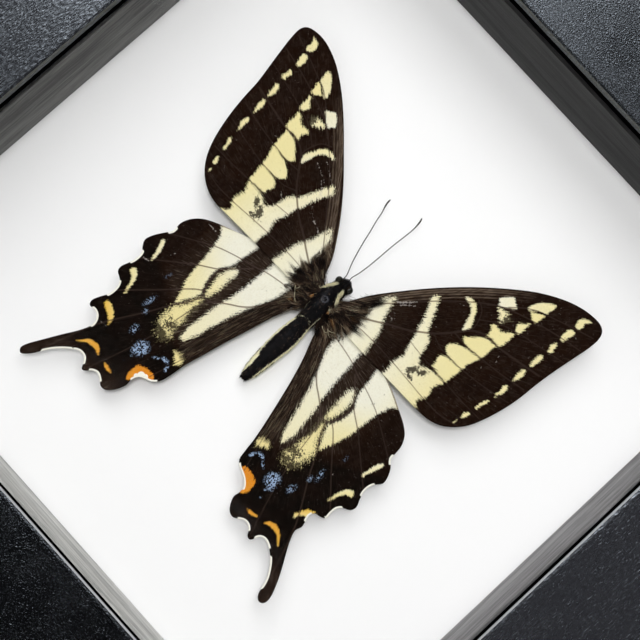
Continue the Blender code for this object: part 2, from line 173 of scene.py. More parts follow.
for name, turn, sideways, distance, width, power, mirrored in LAMPS:
    lamp = bpy.data.objects.new(name, bpy.data.lights.new(name, "AREA"))
    lamp.data.shape, lamp.data.size, lamp.data.energy = "SQUARE", width, power
    turn, sideways = math.radians(turn), math.radians(sideways)
    out = Vector((math.sin(turn) * math.sin(sideways), -math.cos(turn), math.sin(turn) * math.cos(sideways)))
    lamp.location = Vector(BOARD_MIDDLE) + out * distance
    lamp.rotation_euler = out.to_track_quat("Z", "Y").to_euler()
    lamp.visible_glossy = lamp.visible_transmission = mirrored
    bpy.context.scene.collection.objects.link(lamp)

world = bpy.data.worlds.new("studio")
world.use_nodes = True
bpy.context.scene.world = world
seen = make_node(world.node_tree, "LightPath").outputs["Is Camera Ray"]
wall = make_node(world.node_tree, "Mix", {0: seen, 6: WALL_FILL, 7: WALL_SEEN}, data_type="RGBA").outputs[2]
world.node_tree.links.new(wall, world.node_tree.nodes["Background"].inputs["Color"])
world.cycles_visibility.glossy = False  # the walls are not mirrored in the glass or the black foil
world.cycles_visibility.transmission = False  # nor in the wings through the glass

table_mesh = bpy.data.meshes.new("table_top")
table_corners = np.array([(-1, -1, 0), (1, -1, 0), (1, 1, 0), (-1, 1, 0)]) * TABLE_HALF
table_mesh.from_pydata(table_corners.tolist(), [], [(0, 1, 2, 3)])
table_mesh.materials.append(Finish("pale_table", (0.78, 0.78, 0.77), 0.8).material)
floor = bpy.data.objects.new("table_top", table_mesh)
bpy.context.scene.collection.objects.link(floor)
floor.visible_glossy = False

# ---------------------------------------------------------------- frame rails
# Four mitred lengths of moulding wrapped in black embossed foil. The foil has a fine pebbled grain, drawn
# out into short strokes on the uprights, and a cool lacquer. The rails stay as the model gives them.
# each rail's black is painted paler or darker by side as light and shade: palest on the right, darkest on
# the bottom
RAIL_BLACKS_WITH_PAINTED_LIGHT = {"top": (0.010, 0.0105, 0.012), "left": (0.017, 0.0175, 0.0205),
               "bottom": (0.0022, 0.0022, 0.0027), "right": (0.026, 0.0265, 0.031)}
# painted shade: the near-black set where the rebate and the wood behind the lip lie in shadow
PAINTED_SHADE_BLACK = (0.0008, 0.0008, 0.0009)
LACQUER_IOR, LACQUER_TINT = 2.8, (0.80, 0.89, 1.0, 1.0)
PEBBLE_SCALE, PATCH_SCALE, GLINT_SCALE = 3700.0, 160.0, 2700.0
PEBBLE_DEPTH = {"top": 0.06 * MM, "bottom": 0.1 * MM, "left": 0.085 * MM, "right": 0.1 * MM}
# the lip's bare edge is olive grey; on the bottom and right rails, which face the lamps, it is painted pale
# grey as lit
LIP_TONES_WITH_PAINTED_LIGHT = {"top": (0.085, 0.083, 0.066), "left": (0.085, 0.083, 0.066),
             "bottom": (0.48, 0.48, 0.49), "right": (0.42, 0.42, 0.43)}
# where the painted shade behind the lip begins, front to back, on each side
PAINTED_SHADE_FROM = {"top": -18.3 * MM, "left": -18.3 * MM, "bottom": -19.2 * MM, "right": -19.2 * MM}
LIP_HALF = board_high.x - BOARD_MIDDLE[0] - 3.7 * MM  # middle of the opening to the rails' inner edge
# the second number is how far out from the opening the painted shade behind the lip reaches
LIP_EDGE, PAINTED_SHADE_REACH = 0.3 * MM, 6 * MM  # the toned edge, and how far out the lip's hidden parts go


def grain_group():
    """The grain that foil, wood, plating and wings share: a noise drawn out along one way, because the
    place is multiplied by Stretch before the noise is read there."""
    group = bpy.data.node_groups.new("drawn_grain", "ShaderNodeTree")
    for name in ("Vector", "Stretch"):
        group.interface.new_socket(name=name, in_out="INPUT", socket_type="NodeSocketVector")
    for name in ("Scale", "Detail", "Roughness", "Distortion"):
        group.interface.new_socket(name=name, in_out="INPUT", socket_type="NodeSocketFloat")
    group.interface.new_socket(name="Grain", in_out="OUTPUT", socket_type="NodeSocketFloat")
    given = group.nodes.new("NodeGroupInput").outputs
    drawn = make_node(group, "Mapping", {"Vector": given["Vector"], "Scale": given["Stretch"]}).outputs[0]
    values = {name: given[name] for name in ("Scale", "Detail", "Roughness", "Distortion")}
    noise = make_node(group, "TexNoise", {"Vector": drawn, **values})
    group.links.new(noise.outputs[0], group.nodes.new("NodeGroupOutput").inputs["Grain"])
    return group


GRAIN = grain_group()


def drawn_grain(finish, vector, stretch, scale, detail=2.0, roughness=0.5, distortion=0.0):
    """Places the shared grain in a finish with its own values."""
    values = {"Vector": vector, "Stretch": stretch, "Scale": scale, "Detail": detail, "Roughness": roughness,
              "Distortion": distortion}
    return finish.node("Group", values, node_tree=GRAIN).outputs["Grain"]


def embossed_foil(side, along, drawn_out):
    """Pebbles are a fine noise, drawn out along the rail. The lip's inner edge has a tone of its own,
    painted pale as lit on the bottom and right rails; behind the lip's front part, and in the rebate,
    painted shade sets the wood dead black, with no shine."""
    foil = Finish("black_foil_" + side, RAIL_BLACKS_WITH_PAINTED_LIGHT[side], 0.34, Specular_IOR_Level=1.0, IOR=LACQUER_IOR,
                  Specular_Tint=LACQUER_TINT)
    place = foil.place()
    stretch = [1.0, 1.0, 1.0]
    stretch[along] = 1 / drawn_out
    pebbles = drawn_grain(foil, place, stretch, PEBBLE_SCALE, 1.5, distortion=0.3)
    patches = drawn_grain(foil, place, stretch, PATCH_SCALE, 3.0)
    foil.dent(pebbles, PEBBLE_DEPTH[side], 1.0)

    axes = foil.node("SeparateXYZ", {"Vector": place}).outputs
    from_middle = foil.calc("ABSOLUTE", foil.calc("SUBTRACT", axes[2 - along], BOARD_MIDDLE[2 - along]))
    lip = foil.calc("LESS_THAN", from_middle, LIP_HALF + LIP_EDGE)
    near_lip = foil.calc("LESS_THAN", from_middle, LIP_HALF + PAINTED_SHADE_REACH)
    # painted shade behind the lip's front and in the rebate: dead black, and no shine
    painted_shade = foil.product(near_lip, foil.calc("GREATER_THAN", axes[1], PAINTED_SHADE_FROM[side]))
    tone = foil.mix(painted_shade, foil.mix(lip, RAIL_BLACKS_WITH_PAINTED_LIGHT[side], LIP_TONES_WITH_PAINTED_LIGHT[side]), PAINTED_SHADE_BLACK)
    sheen = foil.ramp(foil.add(patches, 0.5, pebbles), 0.55, 0.95, 0.30, 0.16)

    # each pebble takes the lacquer differently, so the shine is broken into glints
    drawn = foil.node("Mapping", {"Vector": place, "Scale": stretch}).outputs[0]
    glint = foil.ramp(foil.noise(drawn, GLINT_SCALE), 0.36, 0.66, 0.36, 0.95)
    shine = foil.product(foil.add(painted_shade, -1.0, 1.0), glint)
    foil.feed(Base_Color=tone, Roughness=foil.add(lip, 0.8, sheen), Specular_IOR_Level=shine)
    return foil


def give_finish(node_name, finish):
    """Puts a finish on every slot of a piece that the model already has."""
    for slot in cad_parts[node_name].material_slots:
        slot.material = finish.material


for side in ("top", "bottom"):
    give_finish("frame_rail_" + side, embossed_foil(side, 0, 1.2))
for side in ("left", "right"):
    give_finish("frame_rail_" + side, embossed_foil(side, 2, 4.0))

# ---------------------------------------------------------------- glass
# A 2 mm sheet of low-reflection picture glass, held between the rails' lip and the spacers.
# Light for what lies behind it passes straight through.
glass = Finish("clear_glass", (1, 1, 1), 0.0, Transmission_Weight=1.0, IOR=1.1)
path = glass.node("LightPath").outputs
passing = glass.calc("MAXIMUM", path["Is Shadow Ray"], path["Is Diffuse Ray"])
open_air = glass.node("BsdfTransparent").outputs[0]
pane = glass.node("MixShader", {0: passing, 1: glass.shader.outputs[0], 2: open_air}).outputs[0]
glass.tree.links.new(pane, glass.tree.nodes["Material Output"].inputs["Surface"])
give_finish("glass_pane", glass)

# ---------------------------------------------------------------- spacers
# Four mitred strips of thin wood between the glass and the board, stained black by hand. Their tones hold
# painted light:
# the bottom and right strips, whose faces turn towards the lamps, are painted pale, the top and left ones
# dark as in shade.
STAIN_AND_PAINTED_LIGHT = {"top": (0.041, 0.041, 0.041), "left": (0.145, 0.145, 0.14), "right": (0.23, 0.225, 0.23),
         "bottom": (0.50, 0.50, 0.48)}
STREAK_SCALE, BLOTCH_SCALE, WOOD_STRETCH = 1400.0, 260.0, 0.07


def stained_wood_and_painted_light(side):
    """The grain is a noise drawn out along the strip; it changes the tone, the gloss and the relief."""
    # the base tone is the black stain, with painted light or shade for the strip's side
    tone = STAIN_AND_PAINTED_LIGHT[side]
    wood = Finish("stained_wood_and_painted_light_" + side, tone, 0.5, Specular_IOR_Level=0.04)
    place = wood.place()
    stretch = [1.0, 1.0, 1.0]
    stretch[0 if side in ("top", "bottom") else 2] = WOOD_STRETCH
    streaks = drawn_grain(wood, place, stretch, STREAK_SCALE, 4.0, 0.65)
    blotch = drawn_grain(wood, place, stretch, BLOTCH_SCALE)
    share = wood.ramp(wood.add(blotch, 0.6, streaks), 0.66, 0.94)
    darker, paler = (tuple(part * factor for part in tone) for factor in (0.6, 1.5))
    wood.feed(Base_Color=wood.mix(share, darker, paler), Roughness=wood.ramp(streaks, 0.3, 0.7, 0.42, 0.6))
    wood.dent(streaks, 0.04 * MM, 0.8)
    return wood


for side in STAIN_AND_PAINTED_LIGHT:
    give_finish("spacer_" + side, stained_wood_and_painted_light(side))

# ---------------------------------------------------------------- mount board
# A sheet of thick white card, cut to the rebate and pressed against the spacers by the backboard. Its
# paper face is smooth, with a very slight tooth.
card = Finish("white_card", (0.87, 0.87, 0.87), 0.75)
card.dent(card.noise(card.place(), 900.0, 3.0), 0.01 * MM, 0.4)
give_finish("mount_board", card)

# ---------------------------------------------------------------- wings
# Four thin scaly wings, spread and dried flat: black-brown with cream patches, the hindwings with blue
# dusting and orange crescents. Each is a sheet of membrane with raised veins.
GRID = 0.2  # mm between points of a wing's surface
MEMBRANE = 0.14 * MM
VEIN_RIDGE, VEIN_SLOPE = 0.07, 0.25  # height of a vein, and how far its side runs out (mm)
WAVE_HEIGHT, WAVES, WAVES_FULL = 0.05, 26, 20  # low waves that fan out, full from 20 mm off the root
FAN_PER_RADIAN = 25  # of the map that runs out from the root
BROWN_REACH = 16  # mm from the root to where the forewing's brown has faded
FAR = 3.0  # mm beyond which a distance is no longer worked out
LEVEL_WITHIN = 1e-6  # metres, for a triangle that lies flat in a plate's front face

# Colours of the scales, and how many grains of each noise lie in a metre.
CREAM, YELLOW = (0.735, 0.72, 0.605), (0.715, 0.64, 0.325)
GOLD, ORANGE = (0.70, 0.44, 0.065), (0.62, 0.20, 0.01)
CREAM_SHADE, TAN_LINE, BLUE_SCALE = (0.45, 0.36, 0.16), (0.21, 0.155, 0.11), (0.26, 0.35, 0.50)
BLACK, BROWN, PALE_BROWN = (0.0032, 0.0024, 0.0018), (0.009, 0.0038, 0.002), (0.026, 0.017, 0.0115)
DARK_CLOUD, GREY_HAIR = (0.0065, 0.0032, 0.0022), (0.15, 0.115, 0.09)
NAP, FLECK = (0.032, 0.021, 0.016), (0.10, 0.08, 0.07)
CREAM_VEIN, DARK_VEIN, BROWN_VEIN = (0.105, 0.066, 0.034), (0.027, 0.0175, 0.0135), (0.045, 0.03, 0.025)
FRINGE_WHITE, BARE_MEMBRANE = (0.80, 0.78, 0.69), (0.42, 0.38, 0.35)
SCALE_GRAINS, SPECKLE_GRAINS, NAP_GRAINS, CLOUD_GRAINS = 3200.0, 1900.0, 1100.0, 240.0


def along_curve(points, closed, per=5):
    """Points on a centripetal Catmull-Rom curve through the given ones: between two neighbours the curve
    blends three straight lines by time, where the time between two points is the root of their distance."""
    points = np.asarray(points, float)
    if closed:
        before, after = points[-1:], points[:2]
    else:
        before, after = 2 * points[:1] - points[1:2], 2 * points[-1:] - points[-2:-1]
    p = np.vstack([before, points, after])
    knot = np.concatenate([[0], np.cumsum(np.sqrt(np.linalg.norm(np.diff(p, axis=0), axis=1)))])
    n = len(p) - 3
    p0, p1, p2, p3 = (p[i:i + n, None, :] for i in range(4))
    t0, t1, t2, t3 = (knot[i:i + n, None, None] for i in range(4))
    t = t1 + (t2 - t1) * np.linspace(0, 1, per, endpoint=False)[None, :, None]
    a1 = ((t1 - t) * p0 + (t - t0) * p1) / (t1 - t0)
    a2 = ((t2 - t) * p1 + (t - t1) * p2) / (t2 - t1)
    a3 = ((t3 - t) * p2 + (t - t2) * p3) / (t3 - t2)
    b1 = ((t2 - t) * a1 + (t - t0) * a2) / (t2 - t0)
    b2 = ((t3 - t) * a2 + (t - t1) * a3) / (t3 - t1)
    curve = (((t2 - t) * b1 + (t - t1) * b2) / (t2 - t1)).reshape(-1, points.shape[1])
    return curve if closed else np.vstack([curve, points[-1:]])


def nearest(points, start, end):
    """For each point, its shortest distance to any of the straight pieces start-end, and the spot there."""
    run = end - start
    share = ((points[:, None] - start) * run).sum(2) / (run ** 2).sum(1)
    spot = start + np.clip(share, 0, 1)[..., None] * run
    gap = np.linalg.norm(points[:, None] - spot, axis=2)
    best = gap.argmin(1)
    rows = np.arange(len(points))
    return gap[rows, best], spot[rows, best]


def inside(points, start, end):
    """True where a line from the point towards +across crosses the ring of pieces an odd number of times."""
    y, a, b = points[:, None, 1], start[:, 1], end[:, 1]
    straddles = (a > y) != (b > y)
    rise = np.where(b == a, 1, b - a)
    crossing = start[:, 0] + (y - a) / rise * (end[:, 0] - start[:, 0])
    return ((straddles & (points[:, None, 0] < crossing)).sum(1) % 2) == 1


def depth_in(points, ring):
    """Distance in millimetres from each point to a closed ring, positive inside it."""
    start, end = ring, np.roll(ring, -1, axis=0)
    return nearest(points, start, end)[0] * np.where(inside(points, start, end), 1, -1)


def rim_of(node_name, sign):
    """The edge of a flat plate of the model, as straight pieces in millimetres: those sides of its front
    face's triangles that no other triangle of the face shares."""
    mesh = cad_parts[node_name].data
    points = np.empty(len(mesh.vertices) * 3)
    mesh.vertices.foreach_get("co", points)
    points = points.reshape(-1, 3)
    mesh.calc_loop_triangles()
    faces = np.empty(len(mesh.loop_triangles) * 3, int)
    mesh.loop_triangles.foreach_get("vertices", faces)
    faces = faces.reshape(-1, 3)
    depth = points[faces][:, :, 1]
    front = np.ptp(depth, axis=1) + (depth.mean(1) - points[:, 1].min()) < LEVEL_WITHIN
    flat = (points[:, [0, 2]] - BOARD_MIDDLE[[0, 2]]) / MM * (sign, 1)
    _, index = np.unique(np.round(flat, 3), axis=0, return_inverse=True)
    first = np.unique(index.reshape(-1), return_index=True)[1]
    corners = index.reshape(-1)[faces[front]]
    sides = np.sort(np.concatenate([corners[:, [0, 1]], corners[:, [1, 2]], corners[:, [2, 0]]]), axis=1)
    sides, count = np.unique(sides, axis=0, return_counts=True)
    rim = sides[count == 1]
    return flat[first[rim[:, 0]]], flat[first[rim[:, 1]]]


def wing_sheet(start, end):
    """A square grid of points over the wing, cut to its edge: cells whose middle is inside are kept, and
    the outermost points are moved onto the edge. Returns the points and the four-sided faces."""
    low, high = start.min(0) - GRID, start.max(0) + GRID
    across, up = (np.arange(low[i], high[i] + GRID, GRID) for i in (0, 1))
    xs, ys = np.meshgrid(across, up, indexing="ij")
    middles = np.stack([xs[:-1, :-1] + GRID / 2, ys[:-1, :-1] + GRID / 2], -1).reshape(-1, 2)
    kept = inside(middles, start, end)
    number = np.arange(xs.size).reshape(xs.shape)
    cells = np.stack([number[:-1, :-1], number[1:, :-1], number[1:, 1:], number[:-1, 1:]], -1)
    cells = cells.reshape(-1, 4)[kept]
    used, index, count = np.unique(cells, return_inverse=True, return_counts=True)
    points = np.stack([xs.ravel()[used], ys.ravel()[used]], 1)
    outer = count < 4
    points[outer] = nearest(points[outer], start, end)[1]
    return points, index.reshape(-1, 4)


# The marks on the right wings, in millimetres across and up from the middle of the board: how warm the
# cream is nearest the body and furthest from it (0 white, 1 yellow, 2 gold, 3 orange), how ragged its
# edge is in millimetres, the left wing's own small shift, and the outline.
FOREWING_MARKS = [
    (0.9, 0.9, 0.15, (0, 0), [
        (42.4, 41.5), (41.4, 41.3), (40.5, 40.8), (40.1, 39.8), (40.4, 38.8), (40.9, 38.3), (41.6, 38.4),
        (41.8, 39.3), (41.6, 40.2), (42.0, 40.9)]),
    (0.9, 0.9, 0.15, (-0.3, 0.1), [
        (40.5, 37.2), (41.5, 37.3), (41.6, 36.2), (41.3, 35.2), (41.2, 34.3), (40.5, 34.2), (40.1, 35.0),
        (40.1, 36.3)]),
    (0.9, 0.9, 0.2, (0, 0), [
        (40.5, 32.9), (41.0, 32.6), (41.0, 31.7), (41.3, 31.1), (40.9, 30.3), (40.4, 30.3), (40.3, 31.1),
        (40.0, 31.9)]),
    (0.9, 0.9, 0.2, (0, 0), [
        (40.2, 28.7), (40.8, 28.8), (40.9, 27.4), (40.7, 26.1), (40.3, 25.4), (40.0, 25.8), (39.7, 27.2)]),
    (0.9, 0.9, 0.2, (0, 0.2), [
        (40.1, 24.1), (40.5, 23.9), (40.7, 22.6), (40.4, 21.3), (40.0, 20.5), (39.8, 21.3), (39.6, 22.8)]),
    (0.9, 0.9, 0.2, (0, 0.1), [
        (39.9, 19.0), (40.3, 18.8), (40.6, 17.4), (40.2, 16.6), (39.9, 15.5), (39.6, 15.9), (39.7, 17.3),
        (39.5, 18.3)]),
    (0.9, 0.9, 0.15, (0.1, -0.3), [
        (39.7, 13.9), (39.8, 13.2), (39.4, 12.0), (39.2, 10.9), (38.8, 10.8), (38.8, 11.8), (39.1, 13.3)]),
    (0.9, 0.9, 0.15, (0, -0.4), [
        (38.6, 9.1), (39.0, 9.0), (38.8, 7.8), (38.4, 7.2), (38.2, 7.5), (37.9, 8.1), (38.3, 8.6)]),
    (0.9, 0.9, 0.1, (0, -0.3), [(38.1, 6.3), (38.2, 5.5), (37.9, 5.2), (37.9, 5.9)]),
    # two halves of the mark below the tip, and the square one before it on the front edge
    (0.7, 0.9, 0.15, (0, 0), [
        (34.6, 38.4), (33.6, 37.9), (32.4, 36.9), (31.5, 35.6), (30.9, 33.9), (31.2, 33.3), (32.0, 34.0),
        (33.2, 34.9), (34.5, 35.6), (34.6, 36.5), (34.8, 37.8)]),
    (1.0, 1.1, 0.15, (0, 0), [
        (34.7, 35.1), (33.9, 34.8), (32.9, 34.1), (31.8, 33.4), (32.5, 33.1), (33.3, 32.5), (34.3, 32.4),
        (34.4, 33.6)]),
    (0.2, 0.4, 0.15, (-0.3, 0), [
        (27.4, 32.9), (28.3, 32.4), (29.4, 31.6), (28.2, 30.5), (26.8, 29.5), (26.2, 29.3), (26.1, 30.0),
        (25.3, 30.5), (25.7, 31.3), (26.5, 32.2)]),
    (0.7, 0.8, 0.4, (0, 0), [
        (26.8, 28.9), (28.0, 29.4), (30.2, 29.3), (30.3, 28.7), (29.9, 27.9), (29.6, 27.3), (28.6, 27.4),
        (28.0, 28.0)]),
    (0.9, 0.9, 0.2, (0, 0), [
        (33.4, 31.6), (33.8, 31.6), (33.7, 30.6), (33.8, 29.8), (33.8, 28.6), (33.5, 28.1), (32.7, 28.3),
        (32.3, 29.0), (31.9, 29.6), (32.4, 30.3), (33.0, 30.8)]),
    # the row of marks across the wing's middle
    (1.0, 1.0, 0.25, (0, 0), [
        (33.1, 27.5), (32.4, 27.3), (31.6, 26.5), (30.4, 26.0), (28.8, 26.0), (28.3, 25.4), (29.0, 24.7),
        (29.2, 23.8), (29.2, 23.0), (30.4, 23.4), (31.8, 23.1), (32.8, 23.4), (33.1, 24.8), (33.1, 26.3)]),
    (1.0, 1.0, 0.2, (0, 0), [
        (32.2, 22.9), (31.2, 22.8), (30.0, 22.6), (28.7, 21.9), (27.7, 20.9), (26.9, 20.0), (26.2, 19.2),
        (27.0, 18.6), (28.5, 18.4), (30.0, 18.5), (31.8, 18.7), (32.1, 19.8), (32.1, 21.4)]),
    (0.9, 1.0, 0.2, (0, 0), [
        (31.8, 18.5), (30.5, 18.4), (28.7, 18.0), (27.0, 17.4), (25.8, 16.6), (25.1, 15.6), (25.5, 14.7),
        (26.6, 14.2), (28.5, 14.0), (30.9, 14.2), (31.0, 15.6), (31.5, 17.1)]),
    (0.9, 1.0, 0.25, (-0.1, -0.1), [
        (30.8, 13.9), (29.0, 13.9), (27.3, 13.7), (25.9, 13.0), (25.6, 12.1), (26.1, 11.1), (26.3, 10.2),
        (27.6, 10.0), (29, 9.9), (30.6, 9.9), (30.7, 11.4), (30.9, 12.8)]),
    # the bar through the cell, which widens into the band that reaches the hind margin
    (0.3, 0.95, 0.35, (-0.25, 0), [
        (16.2, 21.2), (15.5, 20.3), (15.6, 19.5), (16.4, 18.2), (17.2, 16.6), (17.9, 15.0), (18.3, 13.4),
        (19.0, 11.9), (19.3, 10.2), (20.0, 8.6), (20.6, 7.2), (20.2, 5.8), (19.9, 4.2), (20.3, 2.8),
        (20.4, 0.6), (24.0, 0.4), (28.0, 0.4), (30.6, 1.0), (29.6, 2.2), (29.3, 3.0), (30.0, 4.0),
        (30.2, 5.4), (29.6, 6.8), (29.9, 8.2), (30.5, 9.5), (28.8, 9.5), (27.0, 9.3), (25.8, 8.9),
        (24.6, 8.3), (23.6, 8.7), (22.9, 9.8), (22.5, 11.4), (22.0, 12.9), (20.9, 13.9), (20.1, 14.7),
        (19.2, 16.4), (18.4, 18.0), (17.6, 19.5), (16.9, 20.8)]),
    (0.4, 0.9, 0.2, (0, 0), [
        (20.3, 25.3), (21.1, 26.0), (22.2, 26.1), (23.3, 25.7), (24.1, 24.8), (24.6, 23.8), (25.3, 22.8),
        (25.7, 21.5), (25.4, 20.5), (24.9, 20.0), (24.6, 20.7), (24.2, 21.7), (23.9, 22.9), (23.4, 23.9),
        (22.6, 24.7), (21.5, 25.1)]),
    (0.1, 0.45, 0.45, (0, 0), [
        (10.3, 14.2), (9.3, 13.3), (8.7, 12.0), (8.5, 10.4), (8.5, 8.8), (8.9, 7.2), (8.6, 5.8),
        (9.6, 4.9), (9.3, 3.9), (9.4, 2.8), (9.2, 1.8), (9.5, 0.2), (14.5, 0.2), (14.3, 2.6), (13.9, 4.6),
        (13.5, 6.2), (12.9, 7.6), (12.2, 8.9), (11.6, 10.2), (11.1, 11.8), (10.8, 13.2)]),
]
HINDWING_MARKS = [
    (0.0, 0.6, 0.4, (0, 0), [
        (8.4, 3.8), (7.8, 1.2), (7.9, -0.6), (8.4, -2.4), (8.8, -4.2), (9.5, -6.0), (10.5, -8.2),
        (11.6, -10.6), (12.6, -13.2), (13.4, -15.8), (14.3, -18.6), (15.0, -21.2), (15.8, -23.2),
        (16.7, -24.2), (17.4, -23.6), (17.6, -21.8), (17.2, -19.2), (16.7, -16.0), (16.2, -13.2),
        (15.5, -10.4), (15.0, -7.4), (14.7, -4.4), (14.4, -1.4), (14.1, 0.8), (13.8, 3.8)]),
    (0.2, 1.0, 0.3, (0, 0), [
        (18.6, 3.8), (19.0, 1.0), (19.4, -1.0), (19.8, -3.0), (20.1, -5.0), (20.9, -6.8), (21.8, -8.2),
        (22.0, -9.8), (21.8, -11.6), (21.2, -13.4), (20.7, -14.4), (21.4, -16.4), (22.7, -18.8),
        (23.0, -19.6), (23.8, -17.8), (24.4, -16.0), (25.0, -14.0), (25.4, -11.6), (25.5, -9.2),
        (25.8, -6.6), (26.3, -4.2), (26.9, -2.4), (28.4, -1.2), (30.4, -0.6), (25.0, 3.6)]),
    (0.7, 0.9, 0.5, (0, 0), [
        (18.9, -5.6), (18.2, -6.4), (18.4, -8.4), (18.5, -10.4), (18.8, -12.6), (19.3, -14.4),
        (19.9, -13.9), (20.3, -12.2), (20.5, -10.4), (20.7, -8.8), (20.2, -7.2), (19.6, -6.0)]),
    (1.0, 1.1, 1.1, (0, 0), [
        (19.6, -15.0), (18.9, -15.8), (19.1, -18.0), (19.3, -20.4), (19.2, -23.0), (18.8, -25.4),
        (19.9, -26.6), (21.6, -26.4), (22.8, -24.6), (22.9, -22.4), (22.9, -20.4), (22.0, -19.0),
        (21.0, -17.2), (20.2, -15.6)]),
    (1.1, 1.2, 0.35, (0, 0), [
        (13.1, -26.6), (14.2, -26.0), (15.2, -26.1), (15.8, -26.9), (15.0, -27.6), (14.2, -28.2),
        (13.8, -28.8), (13.3, -28.3), (13.0, -27.5)]),
    (3.0, 2.8, 0.15, (0, 0), [
        (14.8, -34.3), (15.3, -33.3), (16.6, -33.1), (18.2, -33.4), (19.3, -34.1), (19.5, -35.4),
        (19.5, -36.6), (19.0, -37.6), (18.4, -37.4), (17.9, -36.0), (16.9, -35.0), (15.8, -34.5)]),
    (2.6, 2.2, 0.12, (0, 0), [
        (26.7, -38.2), (27.2, -37.3), (28.1, -36.7), (29.4, -36.7), (30.5, -37.2), (31.4, -38.2),
        (32.2, -39.2), (31.2, -38.6), (30.2, -37.9), (28.9, -37.7), (27.7, -37.8)]),
    (2.7, 2.5, 0.15, (0, 0), [(22.1, -38.9), (23.2, -38.5), (24.6, -38.3), (24.2, -38.8), (23.0, -39.1)]),
    (0.8, 1.2, 0.15, (-0.1, -0.1), [
        (34.4, -20.0), (33.4, -20.6), (32.8, -21.6), (32.4, -23.2), (32.1, -24.9), (32.4, -25.3),
        (32.8, -24.1), (33.2, -22.7), (33.9, -21.7), (35.1, -21.0), (35.0, -20.5)]),
    (0.5, 0.8, 0.15, (-0.15, -0.1), [
        (34.4, -11.6), (33.8, -12.4), (33.4, -13.8), (33.2, -15.2), (33.1, -16.4), (33.4, -16.7),
        (33.8, -15.4), (34.3, -13.8), (34.8, -12.4), (34.8, -11.7)]),
]
# The crescent beside the tail, worn thin on the right wing and whole on the left.
WORN_CRESCENT_RIGHT = (2.0, 1.1, 0.2, (0, 0), [
    (32.3, -28.9), (31.5, -29.2), (30.6, -29.9), (30.0, -31.1), (29.7, -32.3), (30.0, -33.0), (30.5, -31.9),
    (31.2, -31.1), (31.9, -30.8), (32.3, -29.8)])
CRESCENT_LEFT = (1.6, 2.0, 0.15, (0, 0), [
    (26.1, -34.9), (26.2, -33.5), (27.0, -32.5), (28.2, -31.6), (29.2, -31.2), (30.1, -31.4), (30.2, -32.1),
    (29.2, -32.8), (28.2, -33.2), (27.0, -33.9)])
# Veins of the right wings: half their width in millimetres, and the line they follow.
FOREWING_VEINS = [
    (0.2, [(5.0, 3.6), (8.2, 5.6), (11.4, 7.7), (13.2, 9.0), (15.2, 10.2), (17.4, 11.6), (19.6, 13.4),
           (21.6, 15.2), (23.4, 17.4), (25.0, 19.6), (26.4, 21.4), (28.2, 22.6), (30.4, 23.1),
           (32.4, 23.1), (37, 24.0), (43, 25.4)]),
    (0.1, [(18.2, 10.2), (20.0, 10.1), (22.5, 9.9), (25.5, 9.8), (28.5, 9.7), (30.6, 9.7), (36, 9.6),
           (41, 9.8)]),
    (0.1, [(21.4, 15.0), (24.4, 14.0), (26.4, 13.95), (28.6, 14.05), (30.8, 14.15), (37, 15.2),
           (42.6, 16.6)]),
    (0.12, [(24.0, 18.4), (26.4, 18.3), (28.4, 18.2), (30.2, 18.6), (32.0, 18.8), (38, 19.8),
            (43, 21.0)]),
    (0.11, [(4.6, 3.2), (7, 3.8), (10, 4.1), (14, 4.35), (19, 4.4), (24, 4.25), (30, 4.0), (35, 4.2),
            (39, 5.4)]),
    (0.12, [(28, 30.6), (30.4, 33.0), (31.6, 33.9), (33.0, 34.8), (34.8, 35.5), (39, 37.2),
            (45, 39.4)]),
    (0.12, [(24.6, 27.6), (25.8, 28.8), (27.0, 29.6), (28.4, 30.6), (29.8, 31.7)]),
    (0.13, [(5.2, 6.0), (9.4, 11.2), (13.8, 16.6), (18.0, 21.6), (22.4, 26.0), (26.6, 29.4),
            (32, 31.8), (38, 33.8), (45.2, 35.6)]),
    (0.12, [(24.4, 19.2), (25.9, 20.8), (26.2, 22.4), (25.6, 24.4), (24.6, 26.0), (22.6, 27.0)]),
    (0.1, [(25.8, 24.2), (29, 26.6), (33, 28.2), (38, 29.6), (44.6, 31.2)]),
]
HINDWING_VEINS = [
    (0.16, [(18, 2.1), (21.4, 1.2), (25.2, -0.15), (28.6, -1.65), (31.2, -2.9)]),
    (0.12, [(5.5, -0.4), (8, -0.9), (11, -1.3), (14.2, -1.9), (17, -2.8), (20, -3.5), (22.8, -4.3),
            (25.8, -5.4), (30, -7.6), (34.4, -10)]),
    (0.14, [(16.6, -3.2), (18.9, -5.4), (20.3, -6.9), (21.8, -8.3), (23.5, -9.4), (25.6, -10.7),
            (30, -14), (35.8, -18.4)]),
    (0.14, [(21.6, -8.6), (21.5, -11.3), (20.8, -13.4), (22.2, -14.6), (23.8, -16.1), (28, -20.4),
            (34.4, -26.6)]),
    (0.16, [(20.8, -13.4), (20.0, -14.4), (20.6, -16.2), (21.6, -18.0), (22.9, -19.7), (26, -25),
            (31.4, -33.6), (36, -45)]),
    (0.16, [(5.0, -2.6), (7.6, -5.0), (9.8, -7.6), (11.2, -9.3), (12.8, -10.7), (14.4, -11.7),
            (16.2, -12.9), (18.2, -14.4), (20.0, -14.4)]),
    (0.12, [(18.0, -14.3), (19.0, -16.2), (19.7, -18.4), (20.1, -20.4), (21.2, -26), (23.6, -34),
            (26.4, -41.6)]),
    (0.1, [(4.5, -3.6), (6.6, -7), (8.4, -11), (10.2, -16), (11.8, -21), (13.4, -26.4), (15.8, -34)]),
]
